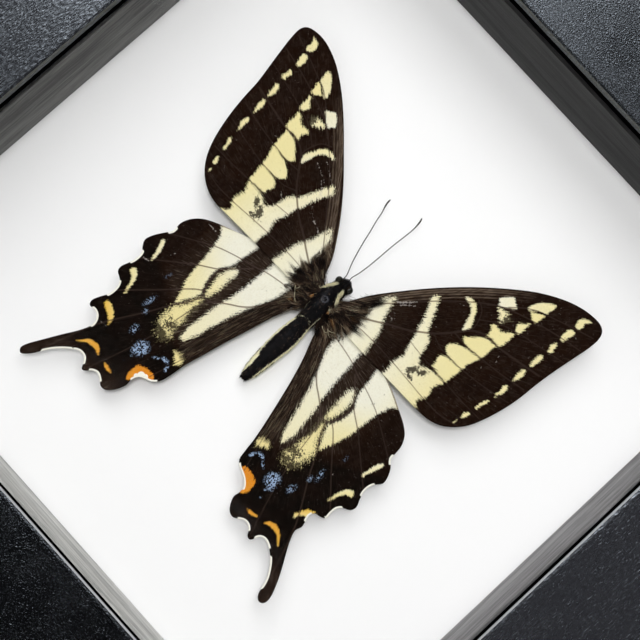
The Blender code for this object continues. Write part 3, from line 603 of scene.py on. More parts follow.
# Blue dusting of the hindwing: middle, reach along and across, how dense, and how far the patch is turned
# (degrees, anticlockwise).
BLUE_DUST = [
    ((14.5, -30.4), (0.9, 0.45), 1.0, 65), ((15.9, -29.3), (1.0, 0.5), 1.1, -8),
    ((17.6, -30.3), (1.1, 0.4), 0.7, -35), ((21.3, -31.0), (1.7, 1.9), 1.0, 0),
    ((22.1, -32.3), (1.1, 1.0), 0.7, 0), ((25.3, -29.2), (1.0, 1.7), 0.62, -10),
    ((27.3, -22.9), (0.8, 2.2), 0.6, 12), ((26.3, -25.0), (0.9, 1.2), 0.52, 0),
    ((28.3, -16.6), (0.9, 1.9), 0.36, 10), ((21.7, -33.5), (0.35, 0.35), 0.8, 0),
    ((22.2, -35.2), (0.25, 0.25), 0.8, 0),
]
# Pale fringe in the notches of the hindwings' margin: middle of each notch and how far the fringe runs.
FRINGES = {
    "right": [
        ((16.4, -35.0), 2.9), ((24.0, -40.9), 2.0), ((29.3, -40.5), 2.2), ((32.6, -46.0), 4.2),
        ((33.0, -43.4), 1.8), ((31.9, -30.6), 1.2), ((34.9, -26.0), 2.2), ((36.1, -17.6), 2.0),
        ((34.8, -9.7), 1.2)],
    "left": [
        ((12.6, -36.7), 2.9), ((20.0, -43.1), 2.0), ((25.2, -42.9), 2.2), ((27.6, -47.6), 4.1),
        ((28.4, -45.0), 1.8), ((29.0, -35.4), 2.4), ((31.0, -28.6), 2.2), ((32.8, -20.6), 2.0),
        ((32.1, -11.2), 1.2)],
}
FRINGE_WIDTH = 0.45
# bare membrane inside the left orange crescent, as circles
NOTCH_LEFT = [((13.55, -36.65), 0.85), ((14.2, -37.5), 0.55), ((12.7, -36.2), 0.6)]
# The front edge; how far inside it each fine tan line of scales runs; and where these lines fade.
FRONT_EDGE = [(3.6, 5.6), (6.2, 10.2), (9.8, 15.6), (14.6, 22.0), (19.8, 28.0), (25, 33.2), (30, 37.5),
              (35, 40.6)]
FRONT_LINES, FRONT_FADE, FRONT_LINE_WIDTH = (0.5, 0.95, 1.5, 2.2), (23, 31), 0.14
# Rubbed places of each wing: half width, and the line they follow.
WORN = {
    "right_fore": [
        (0.3, [(11.3, 13.9), (12.6, 15.2), (14.0, 16.8)]),
        (0.22, [(11.9, 13.5), (13.2, 14.9), (14.5, 16.1)]),
        (0.2, [(12.0, 12.0), (12.8, 11.6), (13.4, 11.0)]),
        (0.2, [(12.4, 10.6), (13.1, 10.5), (13.4, 10.0)]), (0.2, [(35.7, 38.9), (35.9, 38.5)]),
        (0.14, [(36.0, 37.7), (36.6, 37.7)]), (0.12, [(34.2, 22.0), (35.0, 19.9)]),
        (0.1, [(20.4, 23.4), (21.6, 24.0)]), (0.1, [(20.2, 16.3), (20.9, 16.3)]),
        (0.1, [(35.0, 23.3), (35.8, 22.8)]), (0.1, [(33.1, 17.9), (33.8, 17.3)]),
        (0.1, [(42.0, 37.5), (42.6, 36.6)]), (0.12, [(19.0, 2.6), (19.5, 2.2)])],
    "right_hind": [
        (0.12, [(32.9, -5.0), (33.5, -5.6)]), (0.12, [(31.2, -13.6), (31.5, -15.2)]),
        (0.1, [(28.5, -19.0), (28.9, -21.0)]), (0.16, [(7.0, -4.6), (8.6, -5.4)]),
        (0.14, [(7.8, -5.6), (8.8, -6.4)]), (0.1, [(25.0, -33.4), (25.3, -33.6)])],
    "left_fore": [
        (0.2, [(16.4, 17.2), (17.4, 18.2), (18.9, 19.4)]), (0.2, [(16.6, 16.6), (17.6, 18.6)]),
        (0.16, [(16.8, 20.6), (18.6, 21.6), (20.9, 22.9)]),
        (0.14, [(18.2, 19.6), (20.2, 20.6), (22.4, 21.4)]),
        (0.18, [(10.8, 11.2), (12.2, 12.0), (13.6, 12.3)]),
        (0.15, [(13.8, 12.6), (15.4, 13.4), (16.0, 14.2)]), (0.16, [(21.8, 10.6), (22.8, 11.4)]),
        (0.14, [(31.8, 17.2), (32.6, 17.4)]), (0.1, [(33.8, 6.0), (35.2, 6.1)]),
        (0.1, [(32.4, 18.8), (33.0, 18.4)])],
    "left_hind": [
        (0.2, [(26.0, -4.6), (28.0, -4.6)]), (0.16, [(30.5, -19.3), (32.0, -19.7)]),
        (0.16, [(26.0, -35.2), (28.0, -35.4)]), (0.14, [(4.8, -1.4), (6.2, -1.0)]),
        (0.1, [(28.0, -14.0), (28.6, -15.4)])],
}
# Dark dusting over the cream, given as the blue dusting is.
SMUDGES = {
    "fore": [
        ((24.0, 6.4), (1.9, 0.85), 1.3, 60), ((25.8, 7.4), (1.4, 0.7), 1.2, 50),
        ((24.6, 4.9), (1.1, 0.6), 1.1, 0), ((30.0, 28.5), (1.4, 1.8), 1.2, 0),
        ((9.2, 3.3), (1.3, 1.5), 0.7, 0), ((8.7, 8.0), (0.5, 3.0), 0.65, 0),
        ((10.4, 13.2), (0.9, 0.5), 0.6, 0), ((29.6, 2.8), (0.6, 0.8), 0.55, 0),
        ((29.0, 24.8), (0.5, 0.8), 0.5, 0)],
    "hind": [
        ((8.6, -0.6), (1.1, 1.6), 0.8, 0), ((19.4, -14.2), (0.8, 1.4), 0.6, 0),
        ((24.0, -4.4), (1.2, 0.5), 0.35, 20), ((18.6, -17.8), (1.2, 3.4), 1.4, -4),
        ((18.0, -22.8), (1.0, 2.4), 1.1, -4), ((20.9, -25.8), (3.4, 1.6), 1.0, 8),
        ((20.4, -23.6), (2.6, 1.8), 0.85, 0), ((25.2, -17.4), (0.8, 1.6), 0.4, 20)],
}

# Where each wing is fixed to the body, how high off the board it lies there, and how it rises outwards
WING_ROOT = {"fore": (3.6, 3.8), "hind": (3.4, -0.8)}
WING_HEIGHT = {"fore": 5.1, "hind": 4.3}
WING_RISE = 0.012  # mm up for each mm outwards
# The left wings are the right ones, mirrored, after this small turn and move.
LEFT_TURN = {"fore": ((0.986, -0.06), (0.07, 1.009)), "hind": ((0.994, -0.06), (0.0535, 1.025))}
LEFT_MOVE = {"fore": (-1.42, 0.1), "hind": (-1.74, 0.22)}


def to_left(points, pair, shift=(0, 0)):
    """Carries points of a right wing to the left wing of the same pair: a small turn and a move inwards."""
    return np.asarray(points, float) @ np.array(LEFT_TURN[pair]) + LEFT_MOVE[pair] + shift


def near(points, ring, reach):
    """Which points lie within reach of a line's bounding box."""
    return ((points > ring.min(0) - reach) & (points < ring.max(0) + reach)).all(1)


def vein_gap(points, veins):
    """Distance in millimetres from each point to the edge of the nearest vein, negative on the vein."""
    gap = np.full(len(points), FAR)
    for half_width, line in veins:
        line = along_curve(line, False)
        close = near(points, line, FAR)
        found = nearest(points[close], line[:-1], line[1:])[0] - half_width
        gap[close] = np.minimum(gap[close], found)
    return gap


def mark_depths(points, marks, root):
    """For each point, how deep it is in the deepest mark, how warm that mark is there, which changes
    evenly with the distance from the wing's root, and how ragged its edge is."""
    radius = np.linalg.norm(points - root, axis=1)
    depth, warmth, ragged = np.full(len(points), -FAR), np.zeros(len(points)), np.full(len(points), 0.1)
    for warm_in, warm_out, rag, _, ring in marks:
        ring = along_curve(ring, True)
        close = np.flatnonzero(near(points, ring, FAR))
        found = depth_in(points[close], ring)
        better = close[found > depth[close]]
        reach = np.linalg.norm(ring - root, axis=1)
        share = np.clip((radius[better] - reach.min()) / np.ptp(reach), 0, 1)
        depth[better] = found[found > depth[close]]
        warmth[better] = warm_in + (warm_out - warm_in) * share
        ragged[better] = rag
    return depth, warmth, ragged


def dust_density(points, patches):
    """Soft round patches, the densest at each point: a patch falls off as the bell curve of the distance in
    its own turned axes."""
    total = np.zeros(len(points))
    for middle, reach, density, turn in patches:
        c, s = math.cos(math.radians(turn)), math.sin(math.radians(turn))
        away = (points - middle) @ np.array([[c, -s], [s, c]]) / reach
        total = np.maximum(total, density * np.exp(-(away ** 2).sum(1)))
    return total


def add_numbers(mesh, name, values):
    """Stores a number at each of the mesh's points."""
    mesh.attributes.new(name, "FLOAT", "POINT").data.foreach_set("value", values.astype(np.float32))


def on_board(points, height):
    """Metres in the case from millimetres across and up the board and a height off the board."""
    x, z = (points * MM + BOARD_MIDDLE[[0, 2]]).T
    return np.stack([x, np.broadcast_to(BOARD_MIDDLE[1] - height * MM, x.shape), z], 1)


def mesh_piece(name, points, faces, finish):
    """A smooth mesh object from an array of points (metres) and a list of arrays of faces."""
    mesh = bpy.data.meshes.new(name)
    mesh.from_pydata(points.tolist(), [], [face for part in faces for face in part.tolist()])
    mesh.materials.append(finish.material)
    mesh.polygons.foreach_set("use_smooth", np.ones(len(mesh.polygons), bool))
    piece = bpy.data.objects.new(name, mesh)
    bpy.context.scene.collection.objects.link(piece)
    return piece


def wing_colours():
    """Scales of one finish for all four wings. Numbers stored on the mesh say how deep a point lies in a
    cream mark, how warm the cream is, how ragged its edge, how far it is from a vein, and how brown, blue,
    smudged, tan-lined or worn it is; the map named fan runs out from the wing's root."""
    skin = Finish("wing_scales", (0.02, 0.015, 0.012), 0.75, Specular_IOR_Level=0.02)
    mix, ramp, ease = skin.mix, skin.ramp, skin.ease
    add, product, middling = skin.add, skin.product, skin.middling
    place = skin.place()
    fan = skin.node("UVMap", uv_map="fan").outputs[0]
    streaks = drawn_grain(skin, fan, (0.45, 4.5, 1), 1.0, 3.0)
    fine_lines = drawn_grain(skin, fan, (0.3, 9.0, 1), 1.0)
    scales = skin.noise(place, SCALE_GRAINS, 1.0)
    speckle = skin.noise(place, SPECKLE_GRAINS)
    nap = skin.noise(place, NAP_GRAINS, 3.0)
    cloud = skin.noise(place, CLOUD_GRAINS, 3.0)

    # cream marks: their edge is feathered along the fan, or soft and speckled where it is very ragged
    ragged = skin.number("ragged")
    feather = product(middling(streaks), skin.calc("MINIMUM", ragged, 0.5))
    edge = add(feather, 6.0, add(product(middling(scales), ragged), 3.4, skin.number("depth")))
    cream_share = ease(skin.calc("DIVIDE", edge, ramp(ragged, 0.1, 1.1, 0.18, 0.8)), -1, 1)
    smudge = add(middling(scales), 1.5, add(middling(speckle), 1.3, skin.number("smudge")))
    cream_share = product(cream_share, add(ease(smudge, 0.38, 0.86, 0.0, 0.92), -1.0, 1.0))
    warmth = skin.number("warmth")
    cream = mix(ramp(warmth, 0, 1), CREAM, YELLOW)
    cream = mix(ramp(warmth, 1, 2), cream, GOLD)
    cream = mix(ramp(warmth, 2, 3), cream, ORANGE)
    cream = mix(ease(scales, 0.35, 0.75, 0.0, 0.14), cream, CREAM_SHADE)

    # dark ground, blacker outwards, browner and hairy near the body, with a soft nap and pale flecks
    brown = skin.number("brown")
    dark = mix(ramp(brown, 1, 2), mix(ramp(brown, 0, 1), BLACK, BROWN), PALE_BROWN)
    dark = mix(ease(cloud, 0.35, 0.7, 0.0, 0.6), dark, DARK_CLOUD)
    dark = mix(product(ease(streaks, 0.54, 0.66), ease(brown, 0.75, 2.2, 0.03, 0.6)), dark, GREY_HAIR)
    dark = mix(product(ease(nap, 0.42, 0.66, 0.0, 0.2), ramp(brown, 0, 1, 0.3, 1.0)), dark, NAP)
    dark = mix(ease(speckle, 0.64, 0.78, 0.0, 0.35), dark, FLECK)
    dark = mix(product(skin.number("front"), ease(streaks, 0.3, 0.62, 0.15, 0.85)), dark, TAN_LINE)
    ground = mix(cream_share, dark, cream)

    # brown veins across the cream, hardly seen in the dark
    vein = mix(cream_share, mix(ease(brown, 1.0, 1.7), DARK_VEIN, BROWN_VEIN), CREAM_VEIN)
    ground = mix(ease(skin.number("vein"), 0.09, -0.07, 0.0, 0.8), ground, vein)

    # blue dust, the pale fringe, and rubbed places where pale membrane shows
    dust = product(skin.number("blue"), ease(scales, 0.36, 0.62, 0.3, 1.7))
    ground = mix(ease(dust, 0.34, 1.2), ground, BLUE_SCALE)
    ground = mix(ease(skin.number("fringe"), 0.0, 0.12), ground, FRINGE_WHITE)
    worn = add(middling(speckle), 4.0, add(middling(fine_lines), 2.5, skin.number("worn")))
    skin.feed(Base_Color=mix(ease(worn, 0.3, 1.2, 0.0, 0.6), ground, BARE_MEMBRANE))
    skin.dent(add(streaks, 0.5, scales), 0.04 * MM, 0.6)
    return skin


def front_lines(points, front_edge):
    """The tan lines of the forewing: a narrow bell curve across each one, weaker away from the front edge
    by one over the distance, and fading out towards the tip."""
    line = along_curve(front_edge, False)
    gap = nearest(points, line[:-1], line[1:])[0]
    lines = sum(np.exp(-((gap - inwards) / FRONT_LINE_WIDTH) ** 2) for inwards in FRONT_LINES)
    faded = np.clip((points[:, 0] - FRONT_FADE[0]) / (FRONT_FADE[1] - FRONT_FADE[0]), 0, 1)
    return lines / (1 + gap * 0.3) * (1 - faded)


def hind_brown(points, root):
    """How brown the hindwing is: 1.6 at the body, falling evenly to black over the blue band and, less, at
    the outer margin, brown again in the tail, with a bell-shaped line of grey hairs down the middle band."""
    low = np.clip((points[:, 0] - 19) / 6 + (-21.5 - points[:, 1]) / 4, 0, 1)
    outer = np.clip((points[:, 0] - 24) / 5, 0, 1)
    brown = 1.6 - 1.5 * np.maximum(low, 0.65 * outer) - 0.4 * np.clip((-26 - points[:, 1]) / 2, 0, 1)
    brown += 1.6 * np.clip((-40.5 - points[:, 1]) / 3, 0, 1)
    across, up = (points - root).T
    return brown + 0.7 * np.exp(-((across - 14.6) / 1.8) ** 2) * np.clip((-6 - up) / 5, 0, 1)


def hind_fringe(points, margin, side):
    """How deep each point lies in the hindwing's pale fringe: within reach of a notch and near the margin.
    The left wing's bare membrane is the same, as whole circles."""
    fringe = np.full(len(points), -1.0)
    for middle, reach in FRINGES[side]:
        span = reach - np.linalg.norm(points - middle, axis=1)
        fringe = np.maximum(fringe, np.minimum(span, FRINGE_WIDTH - margin))
    for middle, reach in (NOTCH_LEFT if side == "left" else []):
        fringe = np.maximum(fringe, reach - np.linalg.norm(points - middle, axis=1))
    return fringe


def make_wing(pair, side, finish):
    """One wing: its sheet lies at its height off the board and rises evenly from the root, with a ridge of
    bell shape over each vein and low sine waves that fan out. The finish's numbers are stored on it."""
    sign = 1 if side == "right" else -1
    node_name = f"{pair}wing_{side}"
    start, end = rim_of(node_name, sign)
    points, faces = wing_sheet(start, end)
    root, front_edge, smudges = np.array(WING_ROOT[pair]), np.array(FRONT_EDGE), SMUDGES[pair]
    if pair == "fore":
        marks, veins, dust = FOREWING_MARKS, FOREWING_VEINS, []
    else:
        crescent = WORN_CRESCENT_RIGHT if side == "right" else CRESCENT_LEFT
        marks, veins, dust = [*HINDWING_MARKS, crescent], HINDWING_VEINS, BLUE_DUST
    if side == "left":
        marks = [(*looks, shift, ring if ring is CRESCENT_LEFT[-1] else to_left(ring, pair, shift))
                 for *looks, shift, ring in marks]
        veins = [(width, to_left(line, pair)) for width, line in veins]
        dust = [(to_left(middle, pair), *rest) for middle, *rest in dust]
        smudges = [(to_left(middle, pair), *rest) for middle, *rest in smudges]
        root, front_edge = to_left(root, pair), to_left(front_edge, pair)

    away = points - root
    radius, angle = np.linalg.norm(away, axis=1), np.arctan2(away[:, 1], away[:, 0])
    vein = vein_gap(points, veins)
    ridge = VEIN_RIDGE * np.exp(-(np.maximum(vein, 0) / VEIN_SLOPE) ** 2)
    waves = WAVE_HEIGHT * np.sin(angle * WAVES) * np.clip(radius / WAVES_FULL, 0, 1)
    height = WING_HEIGHT[pair] + ridge + waves + WING_RISE * radius
    depth, warmth, ragged = mark_depths(points, marks, root)
    if pair == "fore":
        brown = 1.0 + 0.9 * np.clip(1 - radius / BROWN_REACH, 0, 1)
        front, fringe = front_lines(points, front_edge), np.full(len(points), -1.0)
    else:
        brown = hind_brown(points, root)
        front, fringe = np.zeros(len(points)), hind_fringe(points, nearest(points, start, end)[0], side)
        warmth -= 0.5 * np.clip((points[:, 1] + 13) / 8, 0, 1)  # the cells at the front edge are whiter
    rubbed = np.clip(-vein_gap(points, WORN[f"{side}_{pair}"]) / 0.2, -1, 1)

    placed = on_board(points * (sign, 1), height)
    wing = mesh_piece(f"{side}_{pair}wing", placed, [faces if sign > 0 else faces[:, ::-1]], finish)
    numbers = {"depth": depth, "warmth": warmth, "ragged": ragged, "vein": vein, "brown": brown,
               "fringe": fringe, "front": front, "worn": rubbed, "blue": dust_density(points, dust),
               "smudge": dust_density(points, smudges)}
    for name, values in numbers.items():
        add_numbers(wing.data, name, values)
    corners = np.empty(len(wing.data.loops), int)
    wing.data.loops.foreach_get("vertex_index", corners)
    fan = np.stack([radius, angle * FAN_PER_RADIAN], 1)[corners]
    wing.data.uv_layers.new(name="fan").data.foreach_set("uv", fan.ravel())
    solid = wing.modifiers.new("membrane", "SOLIDIFY")
    solid.thickness, solid.offset = MEMBRANE, -1
    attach(wing, "root")
    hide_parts(node_name)


scale_finish = wing_colours()
for pair in ("hind", "fore"):
    for side in ("right", "left"):
        make_wing(pair, side, scale_finish)

# ---------------------------------------------------------------- body
# Head, thorax and abdomen are one dried, black body: fur on the thorax, short velvet on the ringed abdomen,
# and a yellow flank on each side. The skin follows sections across the body; hairs are grown on it later.
BODY_SECTIONS = np.array([  # up, across, half width, half thickness, height off the board (mm)
    (9.5, 1.2, 0.45, 0.5, 4.6), (8.9, 1.15, 1.2, 1.0, 4.6), (7.8, 1.0, 1.9, 1.4, 4.5),
    (6.9, 0.9, 1.55, 1.4, 4.4), (6.0, 0.7, 2.0, 1.95, 4.3), (4.4, 0.55, 2.5, 2.6, 4.2),
    (2.6, 0.5, 2.6, 2.9, 4.1), (0.4, 0.7, 2.5, 2.8, 4.0), (-2.0, 0.9, 2.1, 2.3, 3.9),
    (-3.6, 0.95, 1.9, 2.0, 3.7), (-6.0, 1.05, 2.25, 2.15, 3.5), (-8.4, 1.08, 2.5, 2.25, 3.3),
    (-12.0, 1.0, 2.3, 2.05, 3.0), (-16.0, 1.05, 2.0, 1.85, 2.7), (-18.6, 1.1, 1.65, 1.6, 2.5),
    (-19.9, 1.1, 1.2, 1.15, 2.4), (-20.8, 1.1, 0.75, 0.75, 2.4), (-21.6, 1.15, 0.2, 0.25, 2.4),
])[::-1]
BODY_LOW, BODY_HIGH = -21.45, 9.55
SECTION_STEP, SECTION_BLEND = 0.05, 0.45  # mm between smoothed sections, and the width of the smoothing
BLEND_STEPS = 30  # sections that the smoothing reads to each side
ABDOMEN_JOINTS = np.array([-4.6, -6.8, -9.0, -11.2, -13.4, -15.6, -17.6, -19.4])
BODY_RINGS, BODY_SIDES = 260, 72
# Where the flank's yellow begins on each side, in degrees down from the ridge of the back.
FLANK_UP = (-20.5, -19.5, -18.0, -15.5, -14.5, -12.0, -8.0, -4.5)
FLANK_LEFT = (80, 44, 32, 33, 53, 56, 57, 52)
FLANK_RIGHT = (85, 58, 48, 50, 55, 58, 60, 58)
FLANK_ENDS, UNDERSIDE_FALL = (-20.6, -4.2), 165  # its ends up the body, and degrees to the black underside
# The dark side line: degrees down from the ridge, half its width, and how far up from the tail it is seen.
SIDE_LINE_FALL, SIDE_LINE_HALF, SIDE_LINE_TOP = 76, 0.16, -14.0
COLLAR_RIGHT = [(1.8, 6.8), (1.95, 5.6), (2.35, 4.7), (2.85, 3.7), (3.0, 2.9), (2.7, 2.1)]
COLLAR_LEFT = [(-0.1, 7.2), (-0.5, 6.3), (-1.2, 5.1), (-1.9, 3.9), (-2.3, 2.8), (-2.3, 1.8)]
WAIST_RIGHT = [(3.0, 0.2), (2.8, -1.4), (2.75, -3.2), (2.95, -4.8)]
WAIST_LEFT = [(-1.6, 0.2), (-1.25, -1.6), (-1.0, -3.6), (-0.9, -4.8)]
WAIST_ARC = [(-0.7, -3.6), (0.3, -2.9), (1.0, -2.7), (1.8, -2.9), (2.6, -3.5)]
COLLAR_HALF, WAIST_HALF, ARC_HALF = 0.27, 0.1, 0.03
SKIN_RADIUS = 2.1  # mm, to turn an angle round the body into a distance along its skin
PIN_PLACE = (0.6, 2.6)
# size and blur of the painted highlight ring round the pin head
PIN_HIGHLIGHT_RADIUS, PIN_HIGHLIGHT_BLUR = 0.62, 0.16


def body_point(up, turn):
    """Places on the body's skin: an oval at each height up the body, its middle and half widths read from
    the sections and smoothed by a bell window, drawn in by up to 7% at each joint of the abdomen, along the
    grooves of the thorax and down its middle seam. turn goes round from the right side to the underside, so
    the ridge of the back is at minus a quarter turn."""
    fine = np.arange(BODY_LOW - 2, BODY_HIGH + 2, SECTION_STEP)
    window = np.exp(-(np.arange(-BLEND_STEPS, BLEND_STEPS + 1) * SECTION_STEP / SECTION_BLEND) ** 2)
    window /= window.sum()
    drawn = (np.interp(fine, BODY_SECTIONS[:, 0], section) for section in BODY_SECTIONS[:, 1:].T)
    smoothed = (np.convolve(section, window, "valid") for section in drawn)
    kept = fine[BLEND_STEPS:-BLEND_STEPS]
    middle, wide, thick, height = (np.interp(up, kept, section) for section in smoothed)
    ends = np.clip(np.minimum((up - BODY_LOW) / 0.2, (BODY_HIGH - up) / 0.7), 0, 1)
    joint = np.exp(-((up[..., None] - ABDOMEN_JOINTS) / 0.2) ** 2).sum(-1)
    front = np.clip(-np.sin(turn), 0, 1)
    neck = np.exp(-((up - 5.9) / 0.3) ** 2)
    waist = np.exp(-((up + 2.9 - 0.6 * np.cos(turn) ** 2) / 0.2) ** 2)
    grooves = 0.5 * neck + 0.5 * waist
    seam = 0.35 * np.exp(-(np.cos(turn) / 0.09) ** 2) * front * np.clip((up + 1) / 2, 0, 1)
    size = np.sqrt(1 - (1 - ends) ** 2) * (1 - 0.06 * joint - 0.07 * grooves - 0.05 * seam)
    flat = np.stack([middle + wide * size * np.cos(turn), up], -1)
    placed = on_board(flat.reshape(-1, 2), (height - thick * size * np.sin(turn)).ravel())
    return placed.reshape(*up.shape, 3)


def body_normal(up, turn):
    """The skin's outward direction: the cross product of its two small steps, round and along."""
    round_step = body_point(up, turn + 0.02) - body_point(up, turn - 0.02)
    long_step = body_point(up + 0.05, turn) - body_point(up - 0.05, turn)
    normal = np.cross(round_step, long_step)
    return normal / np.linalg.norm(normal, axis=-1, keepdims=True)


def skin_rings(rings):
    """Joins rings of points, one after the other, by four-sided faces, and closes each end by a fan of
    triangles to the middle of its ring."""
    n, m = rings.shape[:2]
    number = np.arange(n * m).reshape(n, m)
    after = np.roll(number, -1, axis=1)
    sides = np.stack([number[:-1], after[:-1], after[1:], number[1:]], -1).reshape(-1, 4)
    start = np.stack([after[0], number[0], np.full(m, n * m)], -1)
    end = np.stack([number[-1], after[-1], np.full(m, n * m + 1)], -1)
    return np.vstack([rings.reshape(-1, 3), rings[0].mean(0), rings[-1].mean(0)]), [sides, start, end]


def line_depth(points, lines, half_width):
    """How far inside the edge of the nearest line each point lies, in millimetres."""
    depth = np.full(len(points), -FAR)
    for line in lines:
        line = along_curve(line, False)
        depth = np.maximum(depth, half_width - nearest(points, line[:-1], line[1:])[0])
    return depth


def pale_depth(placed, up, turn):
    """How far inside the body's yellow parts each place lies, in millimetres along the skin: the flank from
    its upper edge down, parted by the dark side line, and the thin lines of collar and waist on the back."""
    flat = (placed[:, [0, 2]] - BOARD_MIDDLE[[0, 2]]) / MM
    fall = np.degrees(np.arccos(np.clip(-np.sin(turn), -1, 1)))  # 0 on the ridge, 180 underneath
    left, right = np.interp(up, FLANK_UP, FLANK_LEFT), np.interp(up, FLANK_UP, FLANK_RIGHT)
    begins = np.where(np.cos(turn) < 0, left, right)
    flank = np.radians(fall - begins) * SKIN_RADIUS
    side_line = np.abs(fall - SIDE_LINE_FALL) * np.where(up < SIDE_LINE_TOP, 0.035, 1) - SIDE_LINE_HALF
    flank = np.minimum(flank, side_line)
    flank = np.minimum(flank, np.radians(UNDERSIDE_FALL - fall) * SKIN_RADIUS)
    flank = np.where((up > FLANK_ENDS[0]) & (up < FLANK_ENDS[1]), flank, -1.0)
    collars = line_depth(flat, (COLLAR_RIGHT, COLLAR_LEFT), COLLAR_HALF)
    waists = line_depth(flat, (WAIST_RIGHT, WAIST_LEFT), WAIST_HALF)
    lines = np.maximum(collars, np.maximum(waists, line_depth(flat, (WAIST_ARC,), ARC_HALF)))
    return np.maximum(flank, np.where(turn > 0, -1.0, lines))


up_grid, turn_grid = np.meshgrid(np.linspace(BODY_LOW, BODY_HIGH, BODY_RINGS),
                                 np.linspace(-math.pi, math.pi, BODY_SIDES, endpoint=False), indexing="ij")
placed, faces = skin_rings(body_point(up_grid, turn_grid))
chitin = Finish("body_skin", (0.004, 0.0035, 0.0045), 0.4, Specular_IOR_Level=0.2)
place = chitin.place()
speckle = chitin.noise(place, 2600.0)
share = chitin.ramp(chitin.add(speckle, 1.5, chitin.number("pale")), 0.7, 0.86)
black = chitin.mix(speckle, (0.0015, 0.0014, 0.0018), (0.008, 0.0075, 0.0095))
# cool blue-grey patches over the black: a painted sheen
black = chitin.mix(chitin.ramp(chitin.noise(place, 420.0), 0.5, 0.72), black, (0.010, 0.0105, 0.0125))
black = chitin.mix(chitin.number("pin_highlight_ring"), black, (0.13, 0.135, 0.155))
chitin.feed(Base_Color=chitin.mix(share, black, (0.88, 0.85, 0.58)))
chitin.dent(speckle, 0.05 * MM, 0.7)
body = mesh_piece("butterfly_skin", placed, faces, chitin)
ends = [0.0, 0.0]  # the two closing points
add_numbers(body.data, "pale", np.append(pale_depth(placed[:-2], up_grid.ravel(), turn_grid.ravel()), ends))
# painted highlight: a small grey ring on the body's back round the pin head, for the light its rim catches
from_pin = np.linalg.norm((placed[:, [0, 2]] - BOARD_MIDDLE[[0, 2]]) / MM - PIN_PLACE, axis=1)
on_back = placed[:, 1] < BOARD_MIDDLE[1] - 5 * MM
add_numbers(body.data, "pin_highlight_ring", np.exp(-((from_pin - PIN_HIGHLIGHT_RADIUS) / PIN_HIGHLIGHT_BLUR) ** 2) * on_back)
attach(body, "root")
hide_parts("butterfly_body")

# ---------------------------------------------------------------- eyes
# Two round compound eyes, glossy and nearly black, set into the sides of the head. Each is a globe of horn
# with the fine relief of its many small lenses.
EYES = [((2.6, 7.9), 4.9), ((-0.55, 7.85), 4.9)]  # across and up, and height off the board
EYE_RADII = np.array([0.78, 0.9, 0.88]) * MM  # across, into the case, up

lens = Finish("eye_lens", (0.004, 0.0035, 0.004), 0.18)
place = lens.place()
lens.dent(lens.node("TexVoronoi", {"Vector": place, "Scale": 9000.0}).outputs["Distance"], 0.012 * MM, 0.5)
lens.feed(Base_Color=lens.mix(lens.noise(place, 700.0), (0.003, 0.003, 0.003), (0.016, 0.015, 0.008)))
for side, (spot, height) in zip(("right", "left"), EYES):
    # a globe: circles of latitude whose width is the sine of the angle from the lower pole
    climb, turn = np.meshgrid(np.linspace(0.04, math.pi - 0.04, 22),
                              np.linspace(0, 2 * math.pi, 32, endpoint=False), indexing="ij")
    globe = np.stack([np.sin(climb) * np.cos(turn), np.sin(climb) * np.sin(turn), -np.cos(climb)], -1)
    placed, faces = skin_rings(globe * EYE_RADII + on_board(np.array([spot]), height))
    eye = mesh_piece("eye_" + side, placed, faces, lens)
    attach(eye, "root")

# ---------------------------------------------------------------- hair
# Fine tapering hairs: short black fur on the thorax with a yellow collar on each side, velvet on the
# abdomen, and long brown and tan hairs that lie out over the wing bases and along the inner margins.
HAIR_STEPS, HAIRS_IN_WISP = 3, 24
BLACK_HAIR, BROWN_HAIR, TAN_HAIR, YELLOW_HAIR, AMBER_HAIR = 0.0, 0.25, 0.5, 0.75, 1.0
HAIR_TONES = {BLACK_HAIR: (0.0022, 0.0018, 0.0022, 1), BROWN_HAIR: (0.013, 0.007, 0.005, 1),
              TAN_HAIR: (0.17, 0.108, 0.07, 1), YELLOW_HAIR: (0.88, 0.84, 0.56, 1),
              AMBER_HAIR: (0.25, 0.10, 0.02, 1)}
rng = np.random.default_rng(12)


def hair_finish():
    """Each hair carries one number, its tone, which picks its colour from a row of five."""
    strand = Finish("hair", (0.02, 0.012, 0.009), 0.5, Specular_IOR_Level=0.1)
    ramp = strand.node("ValToRGB", {"Fac": strand.number("tone")})
    stops = ramp.color_ramp.elements
    for tone in (BROWN_HAIR, TAN_HAIR, YELLOW_HAIR):
        stops.new(tone)
    for stop, colour in zip(stops, HAIR_TONES.values()):
        stop.color = colour
    rough = strand.ramp(strand.noise(strand.place(), 5000.0), 0.3, 0.7, 0.4, 0.6)
    strand.feed(Base_Color=ramp.outputs[0], Roughness=rough)
    return strand


HAIR = hair_finish()


